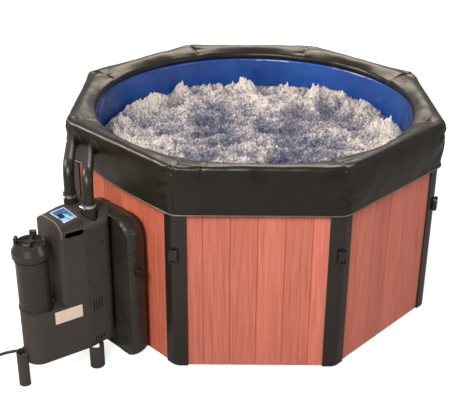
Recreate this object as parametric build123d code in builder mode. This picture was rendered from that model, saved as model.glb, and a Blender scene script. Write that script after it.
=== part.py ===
"""Portable eight-sided hot tub: panelled wall, inflated collar, round liner, and the free-standing
equipment pack that heats, filters and aerates its water through two pipes over the wall.

Millimetres, +Z up, origin on the floor at the centre of the tub. The front panel faces -Y. The
equipment pack stands off the front-left panel, and its parts are placed in that panel's own frame:
n is the distance out from the tub's centre, t the distance along the panel, z the height.
"""

from build123d import *
from math import asin, atan2, cos, degrees, radians, sin, sqrt, tan
import os

# ---- driving dimensions: tub ----
SIDES = 8
HALF_SIDE = 180 / SIDES
WALL_APOTHEM = 616.0  # outer face of the wall panels
PANEL_THICK = 38.0
WALL_TOP = 642.0
PLANK_PITCH = 84.0
GROOVE_WIDE, GROOVE_DEEP = 5.0, 3.0
POST_SKIN = 6.0
POST_WING = 38.0
POST_WEB = 8.0
POST_ROUND = 42.0
PAD_THICK = 12.0
LINER_RADIUS = 574.0
LINER_THICK = 3.0
LINER_TOP = 668.0
TUB_TOP = 711.0
COLLAR_APOTHEM = 633.0
COLLAR_CORNER = 60.0
COLLAR_INNER = 560.0
CREST_APOTHEM = 612.0  # the collar slopes down from this eight-sided crest to its round inner rim
RIM_TOP = 690.0
COLLAR_SKIN = 3.0
SKIRT_BOTTOM = 551.0
LIP_UNDERSIDE = 670.0
CLEAR = 0.4

# ---- driving dimensions: equipment pack ----
BODY_NEAR, BODY_FAR = 712.0, 899.0  # n of the pack body's two ends
BODY_HALF = 80.0  # half its width along t
TAPER_N = 822.0  # the flanks slant in from here towards the canister
BODY_BOTTOM, BODY_SEAM, BODY_SHOULDER, BODY_TOP = 78.0, 262.0, 488.0, 542.0
BODY_CORNER, TAPER_ROUND, FAR_CORNER = 34.0, 60.0, 22.0
SHELL = 4.0
SHOULDER_ROUND, FAR_SHOULDER_ROUND = 48.0, 46.0
FILTER_N = 959.0
FILTER_RADIUS, FILTER_WALL = 46.0, 4.0
FILTER_OUTER = FILTER_RADIUS + FILTER_WALL
FILTER_NECK_TOP = 476.0
LID_RADIUS, LID_BOTTOM, LID_DECK = 58.0, 446.0, 490.0
PIPE_N, PIPE_HALF_GAP = 775.0, 48.0
PIPE_RADIUS, PIPE_BORE = 17.5, 15.0
PIPE_HEIGHT = 660.0
PIPE_FOOT = 520.0
PIPE_SHIFT = 150.0  # how far along the wall the pipes travel between pack and collar
PIPE_RIM_N = 655.0
DROP_RADIUS = 533.0  # distance of the drop legs from the tub's centre

os.makedirs("parts", exist_ok=True)
PACK = Plane(origin=(0, 0, 0), x_dir=(-1, -1, 0), z_dir=(0, 0, 1))
OUT = PACK.x_dir
ALONG = PACK.y_dir


def at(n, t, z):
    """A point given in the pack's frame."""
    return PACK.from_local_coords(Vector(n, t, z))


def upright(n):
    """A plane across the pack at distance n: its X runs along the wall, its Y is up, it faces out."""
    return Plane(origin=at(n, 0, 0), x_dir=ALONG, z_dir=OUT)


def sideways(t, side):
    """A plane along the pack's flank at t, facing out on that side (+1 or -1), with its Y up."""
    return Plane(origin=at(0, t, 0), x_dir=OUT * -side, z_dir=ALONG * side)


def corner_radius(apothem):
    return apothem / cos(radians(HALF_SIDE))


def octagon(apothem):
    """The tub's eight-sided outline, a flat side towards -Y."""
    RegularPolygon(corner_radius(apothem), SIDES, rotation=HALF_SIDE)


def save(name, built):
    """Label a finished piece and write it as its own STEP file."""
    built.label = name
    export_step(built, f"parts/{name}.step")


# ---- wall ----
def wall_panel(index):
    """One rigid board with vertical plank grooves, mitred where it meets the corner posts."""
    angle = -90 + index * 2 * HALF_SIDE
    face = Plane(origin=(0, 0, 0), z_dir=(0, 0, 1), x_dir=(cos(radians(angle)), sin(radians(angle)), 0))
    slope = tan(radians(HALF_SIDE))
    inset = (POST_WEB / 2 + CLEAR) / cos(radians(HALF_SIDE))
    inner = WALL_APOTHEM - PANEL_THICK
    half_out, half_in = WALL_APOTHEM * slope - inset, inner * slope - inset
    with BuildPart() as panel:
        with BuildSketch(face):
            with BuildLine():
                Polyline(
                    (inner, -half_in),
                    (WALL_APOTHEM, -half_out),
                    (WALL_APOTHEM, half_out),
                    (inner, half_in),
                    close=True,
                )
            make_face()
        extrude(amount=WALL_TOP)
        with BuildSketch(face):
            for row in range(-2, 3):
                with Locations((WALL_APOTHEM, row * PLANK_PITCH)):
                    Polygon(
                        (0.5, -GROOVE_WIDE / 2), (0.5, GROOVE_WIDE / 2), (-GROOVE_DEEP, 0), align=None
                    )
        extrude(amount=WALL_TOP, mode=Mode.SUBTRACT)
    return panel.part


def corner_post(index):
    """An H-section post: outer cover strip with a rounded nose, web through the corner, inner strip."""
    angle = -90 + HALF_SIDE + index * 2 * HALF_SIDE
    plan = Plane(origin=(0, 0, 0), z_dir=(0, 0, 1), x_dir=(cos(radians(angle)), sin(radians(angle)), 0))
    lean = Vector(-sin(radians(HALF_SIDE)), cos(radians(HALF_SIDE)))
    normal = Vector(cos(radians(HALF_SIDE)), sin(radians(HALF_SIDE)))
    apex = corner_radius(WALL_APOTHEM)
    inner_apex = corner_radius(WALL_APOTHEM - PANEL_THICK)
    skin_apex = corner_radius(WALL_APOTHEM + POST_SKIN)
    wing = Vector(apex, 0) + lean * POST_WING
    wing_out = wing + normal * POST_SKIN
    strip = 3.0
    back = Vector(inner_apex, 0) + lean * 24
    back_in = back - normal * strip
    back_apex = corner_radius(WALL_APOTHEM - PANEL_THICK - strip)
    with BuildPart() as post:
        with BuildSketch(plan):
            with BuildLine():
                Polyline(
                    (wing.X, -wing.Y),
                    (apex, 0),
                    (wing.X, wing.Y),
                    (wing_out.X, wing_out.Y),
                    (skin_apex, 0),
                    (wing_out.X, -wing_out.Y),
                    close=True,
                )
            make_face()
        extrude(amount=WALL_TOP)
        outermost = plan.from_local_coords((skin_apex, 0, WALL_TOP / 2))
        fillet(post.edges().filter_by(Axis.Z).sort_by_distance(outermost)[0], POST_ROUND)
        with BuildSketch(plan):
            with BuildLine():
                Polyline(
                    (back.X, -back.Y),
                    (inner_apex, 0),
                    (back.X, back.Y),
                    (back_in.X, back_in.Y),
                    (back_apex, 0),
                    (back_in.X, -back_in.Y),
                    close=True,
                )
            make_face()
            with Locations(((inner_apex + apex) / 2, 0)):
                Rectangle(apex - inner_apex + 1, POST_WEB)
        extrude(amount=WALL_TOP)
    return post.part


for number in range(SIDES):
    save(f"wall_panel_{number + 1}", wall_panel(number))
    save(f"corner_post_{number + 1}", corner_post(number))

# ---- cover buckles on the posts: a moulded receptacle with its strap slot ----
BUCKLE_WIDE, BUCKLE_TALL, BUCKLE_DEEP = 30.0, 46.0, 11.0
BUCKLE_HEIGHT = 410.0
BUCKLE_WALL = 2.5
ROUNDED_OFF = POST_ROUND * (1 / cos(radians(HALF_SIDE)) - 1)
BUCKLE_STAND = corner_radius(WALL_APOTHEM + POST_SKIN) - ROUNDED_OFF + CLEAR


def buckle(index):
    angle = radians(-90 + HALF_SIDE + index * 2 * HALF_SIDE)
    outward = Vector(cos(angle), sin(angle), 0)
    face = Plane(origin=outward * BUCKLE_STAND, x_dir=(-sin(angle), cos(angle), 0), z_dir=outward)
    with BuildPart() as body:
        with BuildSketch(face):
            with Locations((0, BUCKLE_HEIGHT)):
                RectangleRounded(BUCKLE_WIDE, BUCKLE_TALL, 6)
        extrude(amount=BUCKLE_DEEP)
        chamfer(body.faces().sort_by(Axis(face.origin, outward))[-1].edges(), 1.5)
        with BuildSketch(face.offset(BUCKLE_WALL)):
            with Locations((0, BUCKLE_HEIGHT + BUCKLE_TALL / 2 - 12)):
                Rectangle(BUCKLE_WIDE - 2 * BUCKLE_WALL - 3, 30)
        extrude(amount=BUCKLE_DEEP - 2 * BUCKLE_WALL, mode=Mode.SUBTRACT)
        with BuildSketch(face):
            with Locations((0, BUCKLE_HEIGHT - BUCKLE_TALL / 2 + 7)):
                SlotOverall(BUCKLE_WIDE - 8, 4.5)
        extrude(amount=BUCKLE_DEEP, mode=Mode.SUBTRACT)
    return body.part


save("cover_buckles", Compound(children=[buckle(number) for number in range(SIDES)]))

# ---- floor ----
with BuildPart() as ground_pad:
    with BuildSketch():
        octagon(WALL_APOTHEM - PANEL_THICK - 4)
    extrude(amount=PAD_THICK)
    fillet(ground_pad.edges().filter_by(Axis.Z), 8)
save("ground_pad", ground_pad.part)


# ---- pipes over the wall ----
def pipe_points(side):
    """Corner points of one pipe's centreline: up from the pack, on to the collar, down inside."""
    start = side * PIPE_HALF_GAP
    end = start - PIPE_SHIFT
    drop = sqrt(DROP_RADIUS**2 - end**2)
    foot = 60.0 if side < 0 else 250.0
    return [
        at(PIPE_N, start, PIPE_FOOT),
        at(PIPE_N, start, PIPE_HEIGHT),
        at(PIPE_RIM_N, end, PIPE_HEIGHT),
        at(drop, end, PIPE_HEIGHT),
        at(drop, end, foot),
    ]


PIPE_BENDS = (42, 42, 44)


def pipe(side, radius, bore=None):
    points = pipe_points(side)
    with BuildPart() as tube:
        with BuildLine() as route:
            FilletPolyline(*points, radius=PIPE_BENDS)
        with BuildSketch(Plane(origin=points[0], z_dir=(0, 0, 1))):
            Circle(radius)
            if bore:
                Circle(bore, mode=Mode.SUBTRACT)
        sweep(path=route.wires()[0])
    return tube.part


SLEEVES = [pipe(side, PIPE_RADIUS + 1.5) for side in (-1, 1)]
save("air_pipe", pipe(-1, PIPE_RADIUS, PIPE_BORE))
save("water_pipe", pipe(1, PIPE_RADIUS, PIPE_BORE))

# ---- perforated air ring on the tub floor, fed by the air pipe ----
RING_RADIUS, RING_TUBE = 548.0, 9.0
RING_HEIGHT = PAD_THICK + LINER_THICK + RING_TUBE + CLEAR
with BuildPart() as air_ring:
    with BuildSketch(Plane.XZ):
        with Locations((RING_RADIUS, RING_HEIGHT)):
            Circle(RING_TUBE)
            Circle(RING_TUBE - 2, mode=Mode.SUBTRACT)
    revolve(axis=Axis.Z)
    with BuildSketch(Plane.XY.offset(RING_HEIGHT)):
        with PolarLocations(RING_RADIUS, 48, start_angle=3.75):
            Circle(1.6)
    extrude(amount=RING_TUBE + 1, mode=Mode.SUBTRACT)
save("air_ring", air_ring.part)

# ---- strainer on the foot of the water pipe ----
STRAINER_TALL = 90.0
with BuildPart() as strainer:
    drop_t = PIPE_HALF_GAP - PIPE_SHIFT
    drop_n = sqrt(DROP_RADIUS**2 - drop_t**2)
    with BuildSketch(Plane(origin=at(drop_n, drop_t, 250 - STRAINER_TALL), z_dir=(0, 0, 1))):
        Circle(PIPE_RADIUS + 4)
    extrude(amount=STRAINER_TALL + 24)
    with BuildSketch(Plane(origin=at(drop_n, drop_t, 250 - STRAINER_TALL + 4), z_dir=(0, 0, 1))):
        Circle(PIPE_RADIUS + 0.3)
    extrude(amount=STRAINER_TALL + 24, mode=Mode.SUBTRACT)
    for row in range(7):
        slot_height = 250 - STRAINER_TALL + 14 + 10 * row
        with BuildSketch(Plane(origin=at(drop_n, drop_t, slot_height), z_dir=(0, 0, 1))):
            with PolarLocations(PIPE_RADIUS + 2, 6):
                Rectangle(10, 14)
        extrude(amount=4, mode=Mode.SUBTRACT)
save("suction_strainer", strainer.part)

# ---- liner ----
with BuildPart() as liner:
    with BuildSketch(Plane.XZ):
        with BuildLine():
            inner = LINER_RADIUS - LINER_THICK
            floor = PAD_THICK + LINER_THICK
            Polyline(
                (0, PAD_THICK),
                (LINER_RADIUS, PAD_THICK),
                (LINER_RADIUS, LINER_TOP),
                (inner, LINER_TOP),
                (inner, floor),
                (0, floor),
                close=True,
            )
        make_face()
    revolve(axis=Axis.Z)
    add(SLEEVES, mode=Mode.SUBTRACT)
save("liner", liner.part)


# ---- collar ----
SLOPE_FOOT = COLLAR_INNER - 4
SLOPE_RISE = TUB_TOP - RIM_TOP + 1.5
CREST_CORNER = 651.0


def slope_cut(drop):
    """What lies above the collar's inward slope: flat along each side, conical at the corners."""
    foot = TUB_TOP - SLOPE_RISE - drop
    tall = SLOPE_RISE + 5
    cone_foot = SLOPE_FOOT + 2
    cone_head = cone_foot + (CREST_CORNER - cone_foot) * tall / SLOPE_RISE
    with BuildPart() as hollow:
        with BuildSketch(Plane.XY.offset(foot)):
            octagon(SLOPE_FOOT)
        extrude(amount=tall, taper=-degrees(atan2(CREST_APOTHEM - SLOPE_FOOT, SLOPE_RISE)))
        with Locations((0, 0, foot)):
            Cone(
                cone_foot,
                cone_head,
                tall,
                align=(Align.CENTER, Align.CENTER, Align.MIN),
                mode=Mode.INTERSECT,
            )
    return hollow.part


def collar_ring(grow, low, high, inner):
    """A ring eight-sided outside and round inside, between two heights."""
    with BuildPart() as ring:
        with BuildSketch(Plane.XY.offset(low)) as plan:
            octagon(COLLAR_APOTHEM + grow)
            fillet(plan.vertices(), COLLAR_CORNER + grow)
            Circle(inner, mode=Mode.SUBTRACT)
        extrude(amount=high - low)
    return ring.part


LINER_GAP = LINER_RADIUS + CLEAR
POST_FACE = WALL_APOTHEM + POST_SKIN
BLADDER_BOTTOM = WALL_TOP + CLEAR + COLLAR_SKIN

with BuildPart() as bladder_ring:
    add(collar_ring(-COLLAR_SKIN - CLEAR, BLADDER_BOTTOM + CLEAR, TUB_TOP - COLLAR_SKIN - CLEAR,
                    LINER_GAP + COLLAR_SKIN + CLEAR))
    top = bladder_ring.faces().sort_by(Axis.Z)[-1]
    fillet(top.outer_wire().edges(), 24)
    add(slope_cut(COLLAR_SKIN + CLEAR), mode=Mode.SUBTRACT)
    add(SLEEVES, mode=Mode.SUBTRACT)
bladder_solid = bladder_ring.part
with BuildPart() as chamber_walls:
    with BuildSketch(Plane.XY.offset(WALL_TOP)):
        with PolarLocations(WALL_APOTHEM, SIDES, start_angle=HALF_SIDE):
            Rectangle(300, 1.0)
    extrude(amount=100)
chambers = (bladder_solid - chamber_walls.part).solids()
save("collar_bladder", Compound(children=list(chambers)))

with BuildPart() as collar_cover:
    add(collar_ring(0, WALL_TOP + CLEAR, LIP_UNDERSIDE, LINER_GAP))
    add(collar_ring(0, LIP_UNDERSIDE, TUB_TOP, COLLAR_INNER))
    crown = collar_cover.faces().sort_by(Axis.Z)[-1]
    fillet(crown.outer_wire().edges(), 15)
    add(slope_cut(0), mode=Mode.SUBTRACT)
    with BuildSketch(Plane.XY.offset(SKIRT_BOTTOM)) as skirt:
        octagon(COLLAR_APOTHEM)
        fillet(skirt.vertices(), COLLAR_CORNER)
        with BuildSketch(mode=Mode.SUBTRACT) as hollow:
            octagon(POST_FACE + 2 * CLEAR)
            fillet(hollow.vertices(), POST_ROUND)
    extrude(amount=WALL_TOP + 2 * CLEAR - SKIRT_BOTTOM)
    cavity = collar_ring(-COLLAR_SKIN, BLADDER_BOTTOM, TUB_TOP - COLLAR_SKIN, LINER_GAP + COLLAR_SKIN)
    add(cavity - slope_cut(COLLAR_SKIN), mode=Mode.SUBTRACT)
    add(SLEEVES, mode=Mode.SUBTRACT)
save("collar_cover", collar_cover.part)


# ---- flanges that seal the pipes where they pass through the collar's outer side ----
FLANGE_RADIUS = 28.0


def flange(side):
    end = side * PIPE_HALF_GAP - PIPE_SHIFT
    seat = Plane(origin=at(COLLAR_APOTHEM + CLEAR, end, PIPE_HEIGHT), x_dir=ALONG, z_dir=OUT)
    with BuildPart() as ring:
        with BuildSketch(seat):
            Circle(FLANGE_RADIUS)
        extrude(amount=4)
        fillet(ring.faces().sort_by(Axis(seat.origin, OUT))[-1].edges(), 1.5)
        add(SLEEVES, mode=Mode.SUBTRACT)
    return ring.part


save("pipe_flanges", Compound(children=[flange(side) for side in (-1, 1)]))

# ---- inflatable cushion between pack and wall, and the two inflation valves with their screw caps ----
CUSHION_NEAR, CUSHION_FAR = WALL_APOTHEM + POST_SKIN + 1, BODY_NEAR - 4
CUSHION_LEFT, CUSHION_RIGHT, CUSHION_TOP = -135.0, 140.0, 500.0
CUSHION_ROUND, CUSHION_FOOT_ROUND, CUSHION_EDGE = 70.0, 30.0, 20.0
with BuildPart() as air_cushion:
    with BuildSketch(upright(CUSHION_NEAR)) as cushion_face:
        with Locations(((CUSHION_LEFT + CUSHION_RIGHT) / 2, CUSHION_TOP / 2)):
            Rectangle(CUSHION_RIGHT - CUSHION_LEFT, CUSHION_TOP)
        fillet(cushion_face.vertices().group_by(Axis.Y)[-1], CUSHION_ROUND)
        fillet(cushion_face.vertices().group_by(Axis.Y)[0], CUSHION_FOOT_ROUND)
    extrude(amount=CUSHION_FAR - CUSHION_NEAR)
    ends = air_cushion.faces().sort_by(Axis((0, 0, 0), OUT))
    fillet(ends[0].edges() + ends[-1].edges(), CUSHION_EDGE)
save("air_cushion", air_cushion.part)

VALVE_NECK, VALVE_BORE, VALVE_TALL = 14.0, 10.5, 9.0
COLLAR_VALVE = Plane(origin=(0, COLLAR_APOTHEM + CLEAR, 668), x_dir=(-1, 0, 0), z_dir=(0, 1, 0))
CUSHION_VALVE = Plane(
    origin=at((CUSHION_NEAR + CUSHION_FAR) / 2, CUSHION_RIGHT + CLEAR, 320), x_dir=-OUT, z_dir=ALONG
)


def valve(seat):
    """A welded base disc with a short neck."""
    with BuildPart() as body:
        with BuildSketch(seat):
            Circle(17)
        extrude(amount=2.5)
        with BuildSketch(seat):
            Circle(VALVE_NECK)
        extrude(amount=VALVE_TALL)
        with BuildSketch(seat.offset(-1)):
            Circle(VALVE_BORE)
        extrude(amount=VALVE_TALL + 2, mode=Mode.SUBTRACT)
    return body.part


def valve_cap(seat):
    """A knurled cap whose plug turns inside the valve's neck."""
    with BuildPart() as cap:
        with BuildSketch(seat.offset(VALVE_TALL + CLEAR)):
            Circle(16)
            with PolarLocations(16, 12):
                Circle(1.6, mode=Mode.SUBTRACT)
        extrude(amount=6)
        with BuildSketch(seat.offset(2)):
            Circle(VALVE_BORE - 0.08)
        extrude(amount=8)
    return cap.part


save("inflation_valves", Compound(children=[valve(COLLAR_VALVE), valve(CUSHION_VALVE)]))
save("collar_valve_cap", valve_cap(COLLAR_VALVE))
save("cushion_valve_cap", valve_cap(CUSHION_VALVE))


# ---- equipment pack: lower shell ----
def level(height):
    return PACK.offset(height)


FLANK_REACH = sqrt((FILTER_N - TAPER_N) ** 2 + BODY_HALF**2)
FLANK_LONG = sqrt(FLANK_REACH**2 - FILTER_OUTER**2)
TAPER = atan2(BODY_HALF, FILTER_N - TAPER_N) - asin(FILTER_OUTER / FLANK_REACH)
TOUCH = (TAPER_N + FLANK_LONG * cos(TAPER), BODY_HALF - FLANK_LONG * sin(TAPER))
FAR_HALF = BODY_HALF - (BODY_FAR - TAPER_N) * tan(TAPER)


def tapered_plan(far_n, far_half, far_round):
    """The pack from above: square to the wall at its near end, its flanks slanting in to the far one."""
    right = [(BODY_NEAR, BODY_HALF), (TAPER_N, BODY_HALF), (far_n, far_half)]
    left = [(n, -t) for n, t in reversed(right)]
    with BuildSketch(mode=Mode.PRIVATE) as plan:
        with BuildLine():
            Polyline(*right, *left, close=True)
        make_face()
        if far_round:
            fillet(plan.vertices().group_by(Axis.X)[-1], far_round)
        fillet(plan.vertices().group_by(Axis.X)[0], BODY_CORNER)
        fillet(plan.vertices().filter_by(lambda corner: abs(corner.X - TAPER_N) < 1), TAPER_ROUND)
    return plan


def body_outline(inset=0.0, mode=Mode.ADD):
    plan = tapered_plan(BODY_FAR, FAR_HALF, FAR_CORNER)
    if inset:
        with plan:
            offset(amount=-inset)
    add(plan.sketch_local, mode=mode)


def base_outline(inset=0.0):
    """The base also holds the canister: its flanks run on until they touch it."""
    plan = tapered_plan(*TOUCH, 0)
    with plan:
        with Locations((FILTER_N, 0)):
            Circle(FILTER_OUTER)
        if inset:
            offset(amount=-inset)
    add(plan.sketch_local)


FRONT_LEG_RADIUS, SIDE_LEG_RADIUS, LEG_WALL = 20.0, 24.0, 4.0
LEG_SOCKET = BODY_BOTTOM + 1.6
FRONT_LEG_HEIGHT = 118.0
LEGS = (
    ((1016.0, -10.0), 0, FRONT_LEG_HEIGHT, FRONT_LEG_RADIUS),
    ((798.0, 74.0), 90, LEG_SOCKET, SIDE_LEG_RADIUS),
    ((798.0, -74.0), -90, LEG_SOCKET, SIDE_LEG_RADIUS),
)
VENT_ROWS = ((229.0, 42.0), (103.0, 22.0))
FLANK_VENTS = (770.0, 780.0, 790.0, 800.0)

with BuildPart() as pack_base:
    with BuildSketch(level(BODY_BOTTOM)):
        base_outline()
    extrude(amount=BODY_SEAM - BODY_BOTTOM)
    fillet(pack_base.faces().sort_by(Axis.Z)[0].edges(), 7)
    with BuildSketch(level(BODY_BOTTOM + SHELL)):
        base_outline(SHELL)
    extrude(amount=BODY_SEAM, mode=Mode.SUBTRACT)
    with BuildSketch(level(BODY_SEAM - SHELL)):
        base_outline()
        body_outline(SHELL, Mode.SUBTRACT)
        with Locations((FILTER_N, 0)):
            Circle(FILTER_RADIUS, mode=Mode.SUBTRACT)
    extrude(amount=SHELL)
    for place, facing, height, radius in LEGS:
        with BuildSketch(level(BODY_BOTTOM - 1)):
            with Locations(place):
                Circle(radius + CLEAR)
                Circle(radius - LEG_WALL - CLEAR, mode=Mode.SUBTRACT)
        extrude(amount=3, mode=Mode.SUBTRACT)
    for side in (-1, 1):
        with BuildSketch(sideways(side * (BODY_HALF - 8), side)):
            for height, tall in VENT_ROWS:
                with Locations(*[(-side * vent, height) for vent in FLANK_VENTS]):
                    SlotOverall(tall, 4, rotation=90)
        extrude(amount=12, mode=Mode.SUBTRACT)
save("pack_base", pack_base.part)


# ---- legs: three open channels that the base stands on ----
def leg(place, facing, height, radius):
    with BuildPart() as channel:
        with BuildSketch(level(0)):
            with Locations(Location((place[0], place[1]), facing)):
                Circle(radius)
                Circle(radius - LEG_WALL, mode=Mode.SUBTRACT)
                with Locations((-radius, 0)):
                    Rectangle(1.2 * radius, 2 * radius, mode=Mode.SUBTRACT)
        extrude(amount=height)
        with BuildSketch(level(LEG_SOCKET)):
            with Locations((FILTER_N, 0)):
                Circle(FILTER_OUTER + CLEAR)
        extrude(amount=height, mode=Mode.SUBTRACT)
    return channel.part


save("pack_legs", Compound(children=[leg(*parameters) for parameters in LEGS]))

# ---- upper shell of the body ----
with BuildPart() as pack_housing:
    with BuildSketch(level(BODY_SEAM + CLEAR)):
        body_outline()
        body_outline(SHELL, Mode.SUBTRACT)
    extrude(amount=BODY_SHOULDER - BODY_SEAM - CLEAR)
save("pack_housing", pack_housing.part)


# ---- screws that close the case ----
def case_screw(n, height, side):
    seat = Plane(origin=at(n, side * (BODY_HALF + 0.2), height), x_dir=OUT, z_dir=ALONG * side)
    with BuildPart() as screw:
        with BuildSketch(seat):
            Circle(4)
        extrude(amount=1.8)
        fillet(screw.faces().sort_by(Axis(seat.origin, ALONG * side))[-1].edges(), 1.0)
        with BuildSketch(seat.offset(1.0)):
            Rectangle(5, 1)
            Rectangle(1, 5)
        extrude(amount=1, mode=Mode.SUBTRACT)
    return screw.part


SCREW_N = (756.0, 812.0)
SCREW_HEIGHTS = (440.0, 325.0)
screws = [case_screw(n, height, side) for n in SCREW_N for height in SCREW_HEIGHTS for side in (-1, 1)]
save("case_screws", Compound(children=screws))

# ---- console: the arched top, with pipe sockets, hand-holds, louvres and a tilted panel seat ----
PANEL_N, PANEL_T, PANEL_Z = 843.0, 11.0, 537.0
PANEL_LONG, PANEL_WIDE, PANEL_TILT = 51.0, 72.0, 7.0
SEAT_THICK = 5.0
SEAT = Plane(
    origin=at(PANEL_N, PANEL_T, PANEL_Z),
    x_dir=OUT,
    z_dir=Vector(0, 0, cos(radians(PANEL_TILT))) + ALONG * sin(radians(PANEL_TILT)),
)
KEY_LONG, KEY_WIDE, KEY_STEP = 9.0, 7.0, 14.0
KEY_PLACES = [(-15.0, KEY_STEP * number) for number in (-1, 0, 1)]
SOCKET_FLOOR = 508.0
WELL_RADIUS, WELL_WALL = 26.0, 2.5
HOLD_N, HOLD_HEIGHT, HOLD_LONG, HOLD_TALL = 850.0, 502.0, 62.0, 17.0
LOUVRES, LOUVRE_STEP, LOUVRE_HEIGHT, LOUVRE_TALL = 12, 6.0, 526.0, 20.0


def loaf(inset, low):
    """The console's outline: arched across its width, the arch narrowing with the flanks."""
    high = BODY_TOP - inset
    arches = (
        (BODY_NEAR - 1, BODY_HALF, SHOULDER_ROUND),
        (TAPER_N, BODY_HALF, SHOULDER_ROUND),
        (BODY_FAR + 1, FAR_HALF, FAR_SHOULDER_ROUND),
    )
    with BuildPart() as block:
        for n, half, shoulder in arches:
            with BuildSketch(upright(n)) as arch:
                with Locations((0, low)):
                    Rectangle(2 * (half + 1 - inset), high - low, align=(Align.CENTER, Align.MIN))
                fillet(arch.vertices().group_by(Axis.Y)[-1], shoulder - inset)
        loft(ruled=True)
        with BuildSketch(level(low)):
            body_outline(inset)
        extrude(amount=high - low, mode=Mode.INTERSECT)
    return block.part


CONSOLE_BOTTOM = BODY_SHOULDER + CLEAR
outer_loaf = loaf(0, CONSOLE_BOTTOM)
inner_loaf = loaf(SHELL, CONSOLE_BOTTOM)
PIPE_PLACES = ((PIPE_N, -PIPE_HALF_GAP), (PIPE_N, PIPE_HALF_GAP))
with BuildPart() as wells:
    with BuildSketch(level(CONSOLE_BOTTOM)):
        with Locations(*PIPE_PLACES):
            Circle(WELL_RADIUS + WELL_WALL)
    extrude(amount=BODY_TOP - CONSOLE_BOTTOM)
    add(outer_loaf, mode=Mode.INTERSECT)

with BuildPart() as seat_block:
    with BuildSketch(SEAT.offset(-SEAT_THICK)):
        Rectangle(PANEL_LONG + 8, PANEL_WIDE + 8)
    extrude(amount=40)
    add(outer_loaf, mode=Mode.INTERSECT)

with BuildPart() as pack_console:
    add(outer_loaf)
    add(inner_loaf, mode=Mode.SUBTRACT)
    add(wells.part)
    add(seat_block.part)
    with BuildSketch(level(SOCKET_FLOOR)):
        with Locations(*PIPE_PLACES):
            Circle(WELL_RADIUS)
    extrude(amount=60, mode=Mode.SUBTRACT)
    with BuildSketch(level(SOCKET_FLOOR - 4)):
        with Locations(*PIPE_PLACES):
            Circle(PIPE_RADIUS)
    extrude(amount=PIPE_FOOT - SOCKET_FLOOR + 4 - CLEAR)
    with BuildSketch(level(CONSOLE_BOTTOM - 1)):
        with Locations(*PIPE_PLACES):
            Circle(PIPE_BORE)
    extrude(amount=60, mode=Mode.SUBTRACT)
    with BuildSketch(SEAT):
        Rectangle(PANEL_LONG + 2 * CLEAR, PANEL_WIDE + 2 * CLEAR)
    extrude(amount=30, mode=Mode.SUBTRACT)
    with BuildSketch(SEAT.offset(-SEAT_THICK - 5)):
        with Locations(*KEY_PLACES):
            Rectangle(KEY_LONG + 0.6, KEY_WIDE + 0.6)
    extrude(amount=20, mode=Mode.SUBTRACT)
    for side in (-1, 1):
        with BuildSketch(sideways(side * (BODY_HALF - 24), side)):
            with Locations((-side * HOLD_N, LOUVRE_HEIGHT)):
                with GridLocations(LOUVRE_STEP, 0, LOUVRES, 1):
                    SlotOverall(LOUVRE_TALL, 2.6, rotation=90)
            with Locations((-side * HOLD_N, HOLD_HEIGHT)):
                SlotOverall(HOLD_LONG, HOLD_TALL)
        extrude(amount=40, mode=Mode.SUBTRACT)
save("pack_console", pack_console.part)

# ---- control panel: blue faceplate, display window and three keys ----
FACEPLATE_THICK = 3.2
PANEL_BACK = CLEAR / 2
PANEL_FACE = PANEL_BACK + FACEPLATE_THICK
LENS_LONG, LENS_WIDE = 18.0, 24.0
LENS_PLACE = (10.0, 0.0)
with BuildPart() as control_panel:
    with BuildSketch(SEAT.offset(PANEL_BACK)):
        RectangleRounded(PANEL_LONG, PANEL_WIDE, 3)
        with Locations(*KEY_PLACES):
            Rectangle(KEY_LONG + 0.6, KEY_WIDE + 0.6, mode=Mode.SUBTRACT)
    extrude(amount=FACEPLATE_THICK)
    with BuildSketch(SEAT.offset(PANEL_FACE - 1.6)):
        with Locations(LENS_PLACE):
            Rectangle(LENS_LONG + 0.4, LENS_WIDE + 0.4)
    extrude(amount=5, mode=Mode.SUBTRACT)
save("control_panel", control_panel.part)

with BuildPart() as display_lens:
    with BuildSketch(SEAT.offset(PANEL_FACE - 1.5)):
        with Locations(LENS_PLACE):
            Rectangle(LENS_LONG, LENS_WIDE)
    extrude(amount=1.9)
save("display_lens", display_lens.part)

for number, place in enumerate(KEY_PLACES):
    with BuildPart() as key:
        with BuildSketch(SEAT.offset(-2)):
            with Locations(place):
                Rectangle(KEY_LONG, KEY_WIDE)
        extrude(amount=PANEL_FACE + 2 + 1.6)
        fillet(key.faces().sort_by(Axis(SEAT.origin, SEAT.z_dir))[-1].edges(), 0.6)
    save(f"key_{number + 1}", key.part)

# ---- rubber couplers on the sockets, with their band clamps and the clamps' worm screws ----
COUPLER_RADIUS, COUPLER_TOP = 21.5, 574.0
CLAMP_HEIGHT, CLAMP_BAND = 560.0, 9.0
WORM_RADIUS, WORM_LONG = 3.4, 18.0
with BuildPart() as couplers:
    with BuildSketch(level(SOCKET_FLOOR + CLEAR)):
        with Locations(*PIPE_PLACES):
            Circle(COUPLER_RADIUS)
            Circle(PIPE_RADIUS + 0.05, mode=Mode.SUBTRACT)
    extrude(amount=COUPLER_TOP - SOCKET_FLOOR - CLEAR)
    coupler_mouths = couplers.edges().group_by(Axis.Z)[-1]
    fillet(coupler_mouths.filter_by(lambda edge: edge.radius > PIPE_RADIUS + 2), 1.5)
save("pipe_couplers", couplers.part)


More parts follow.
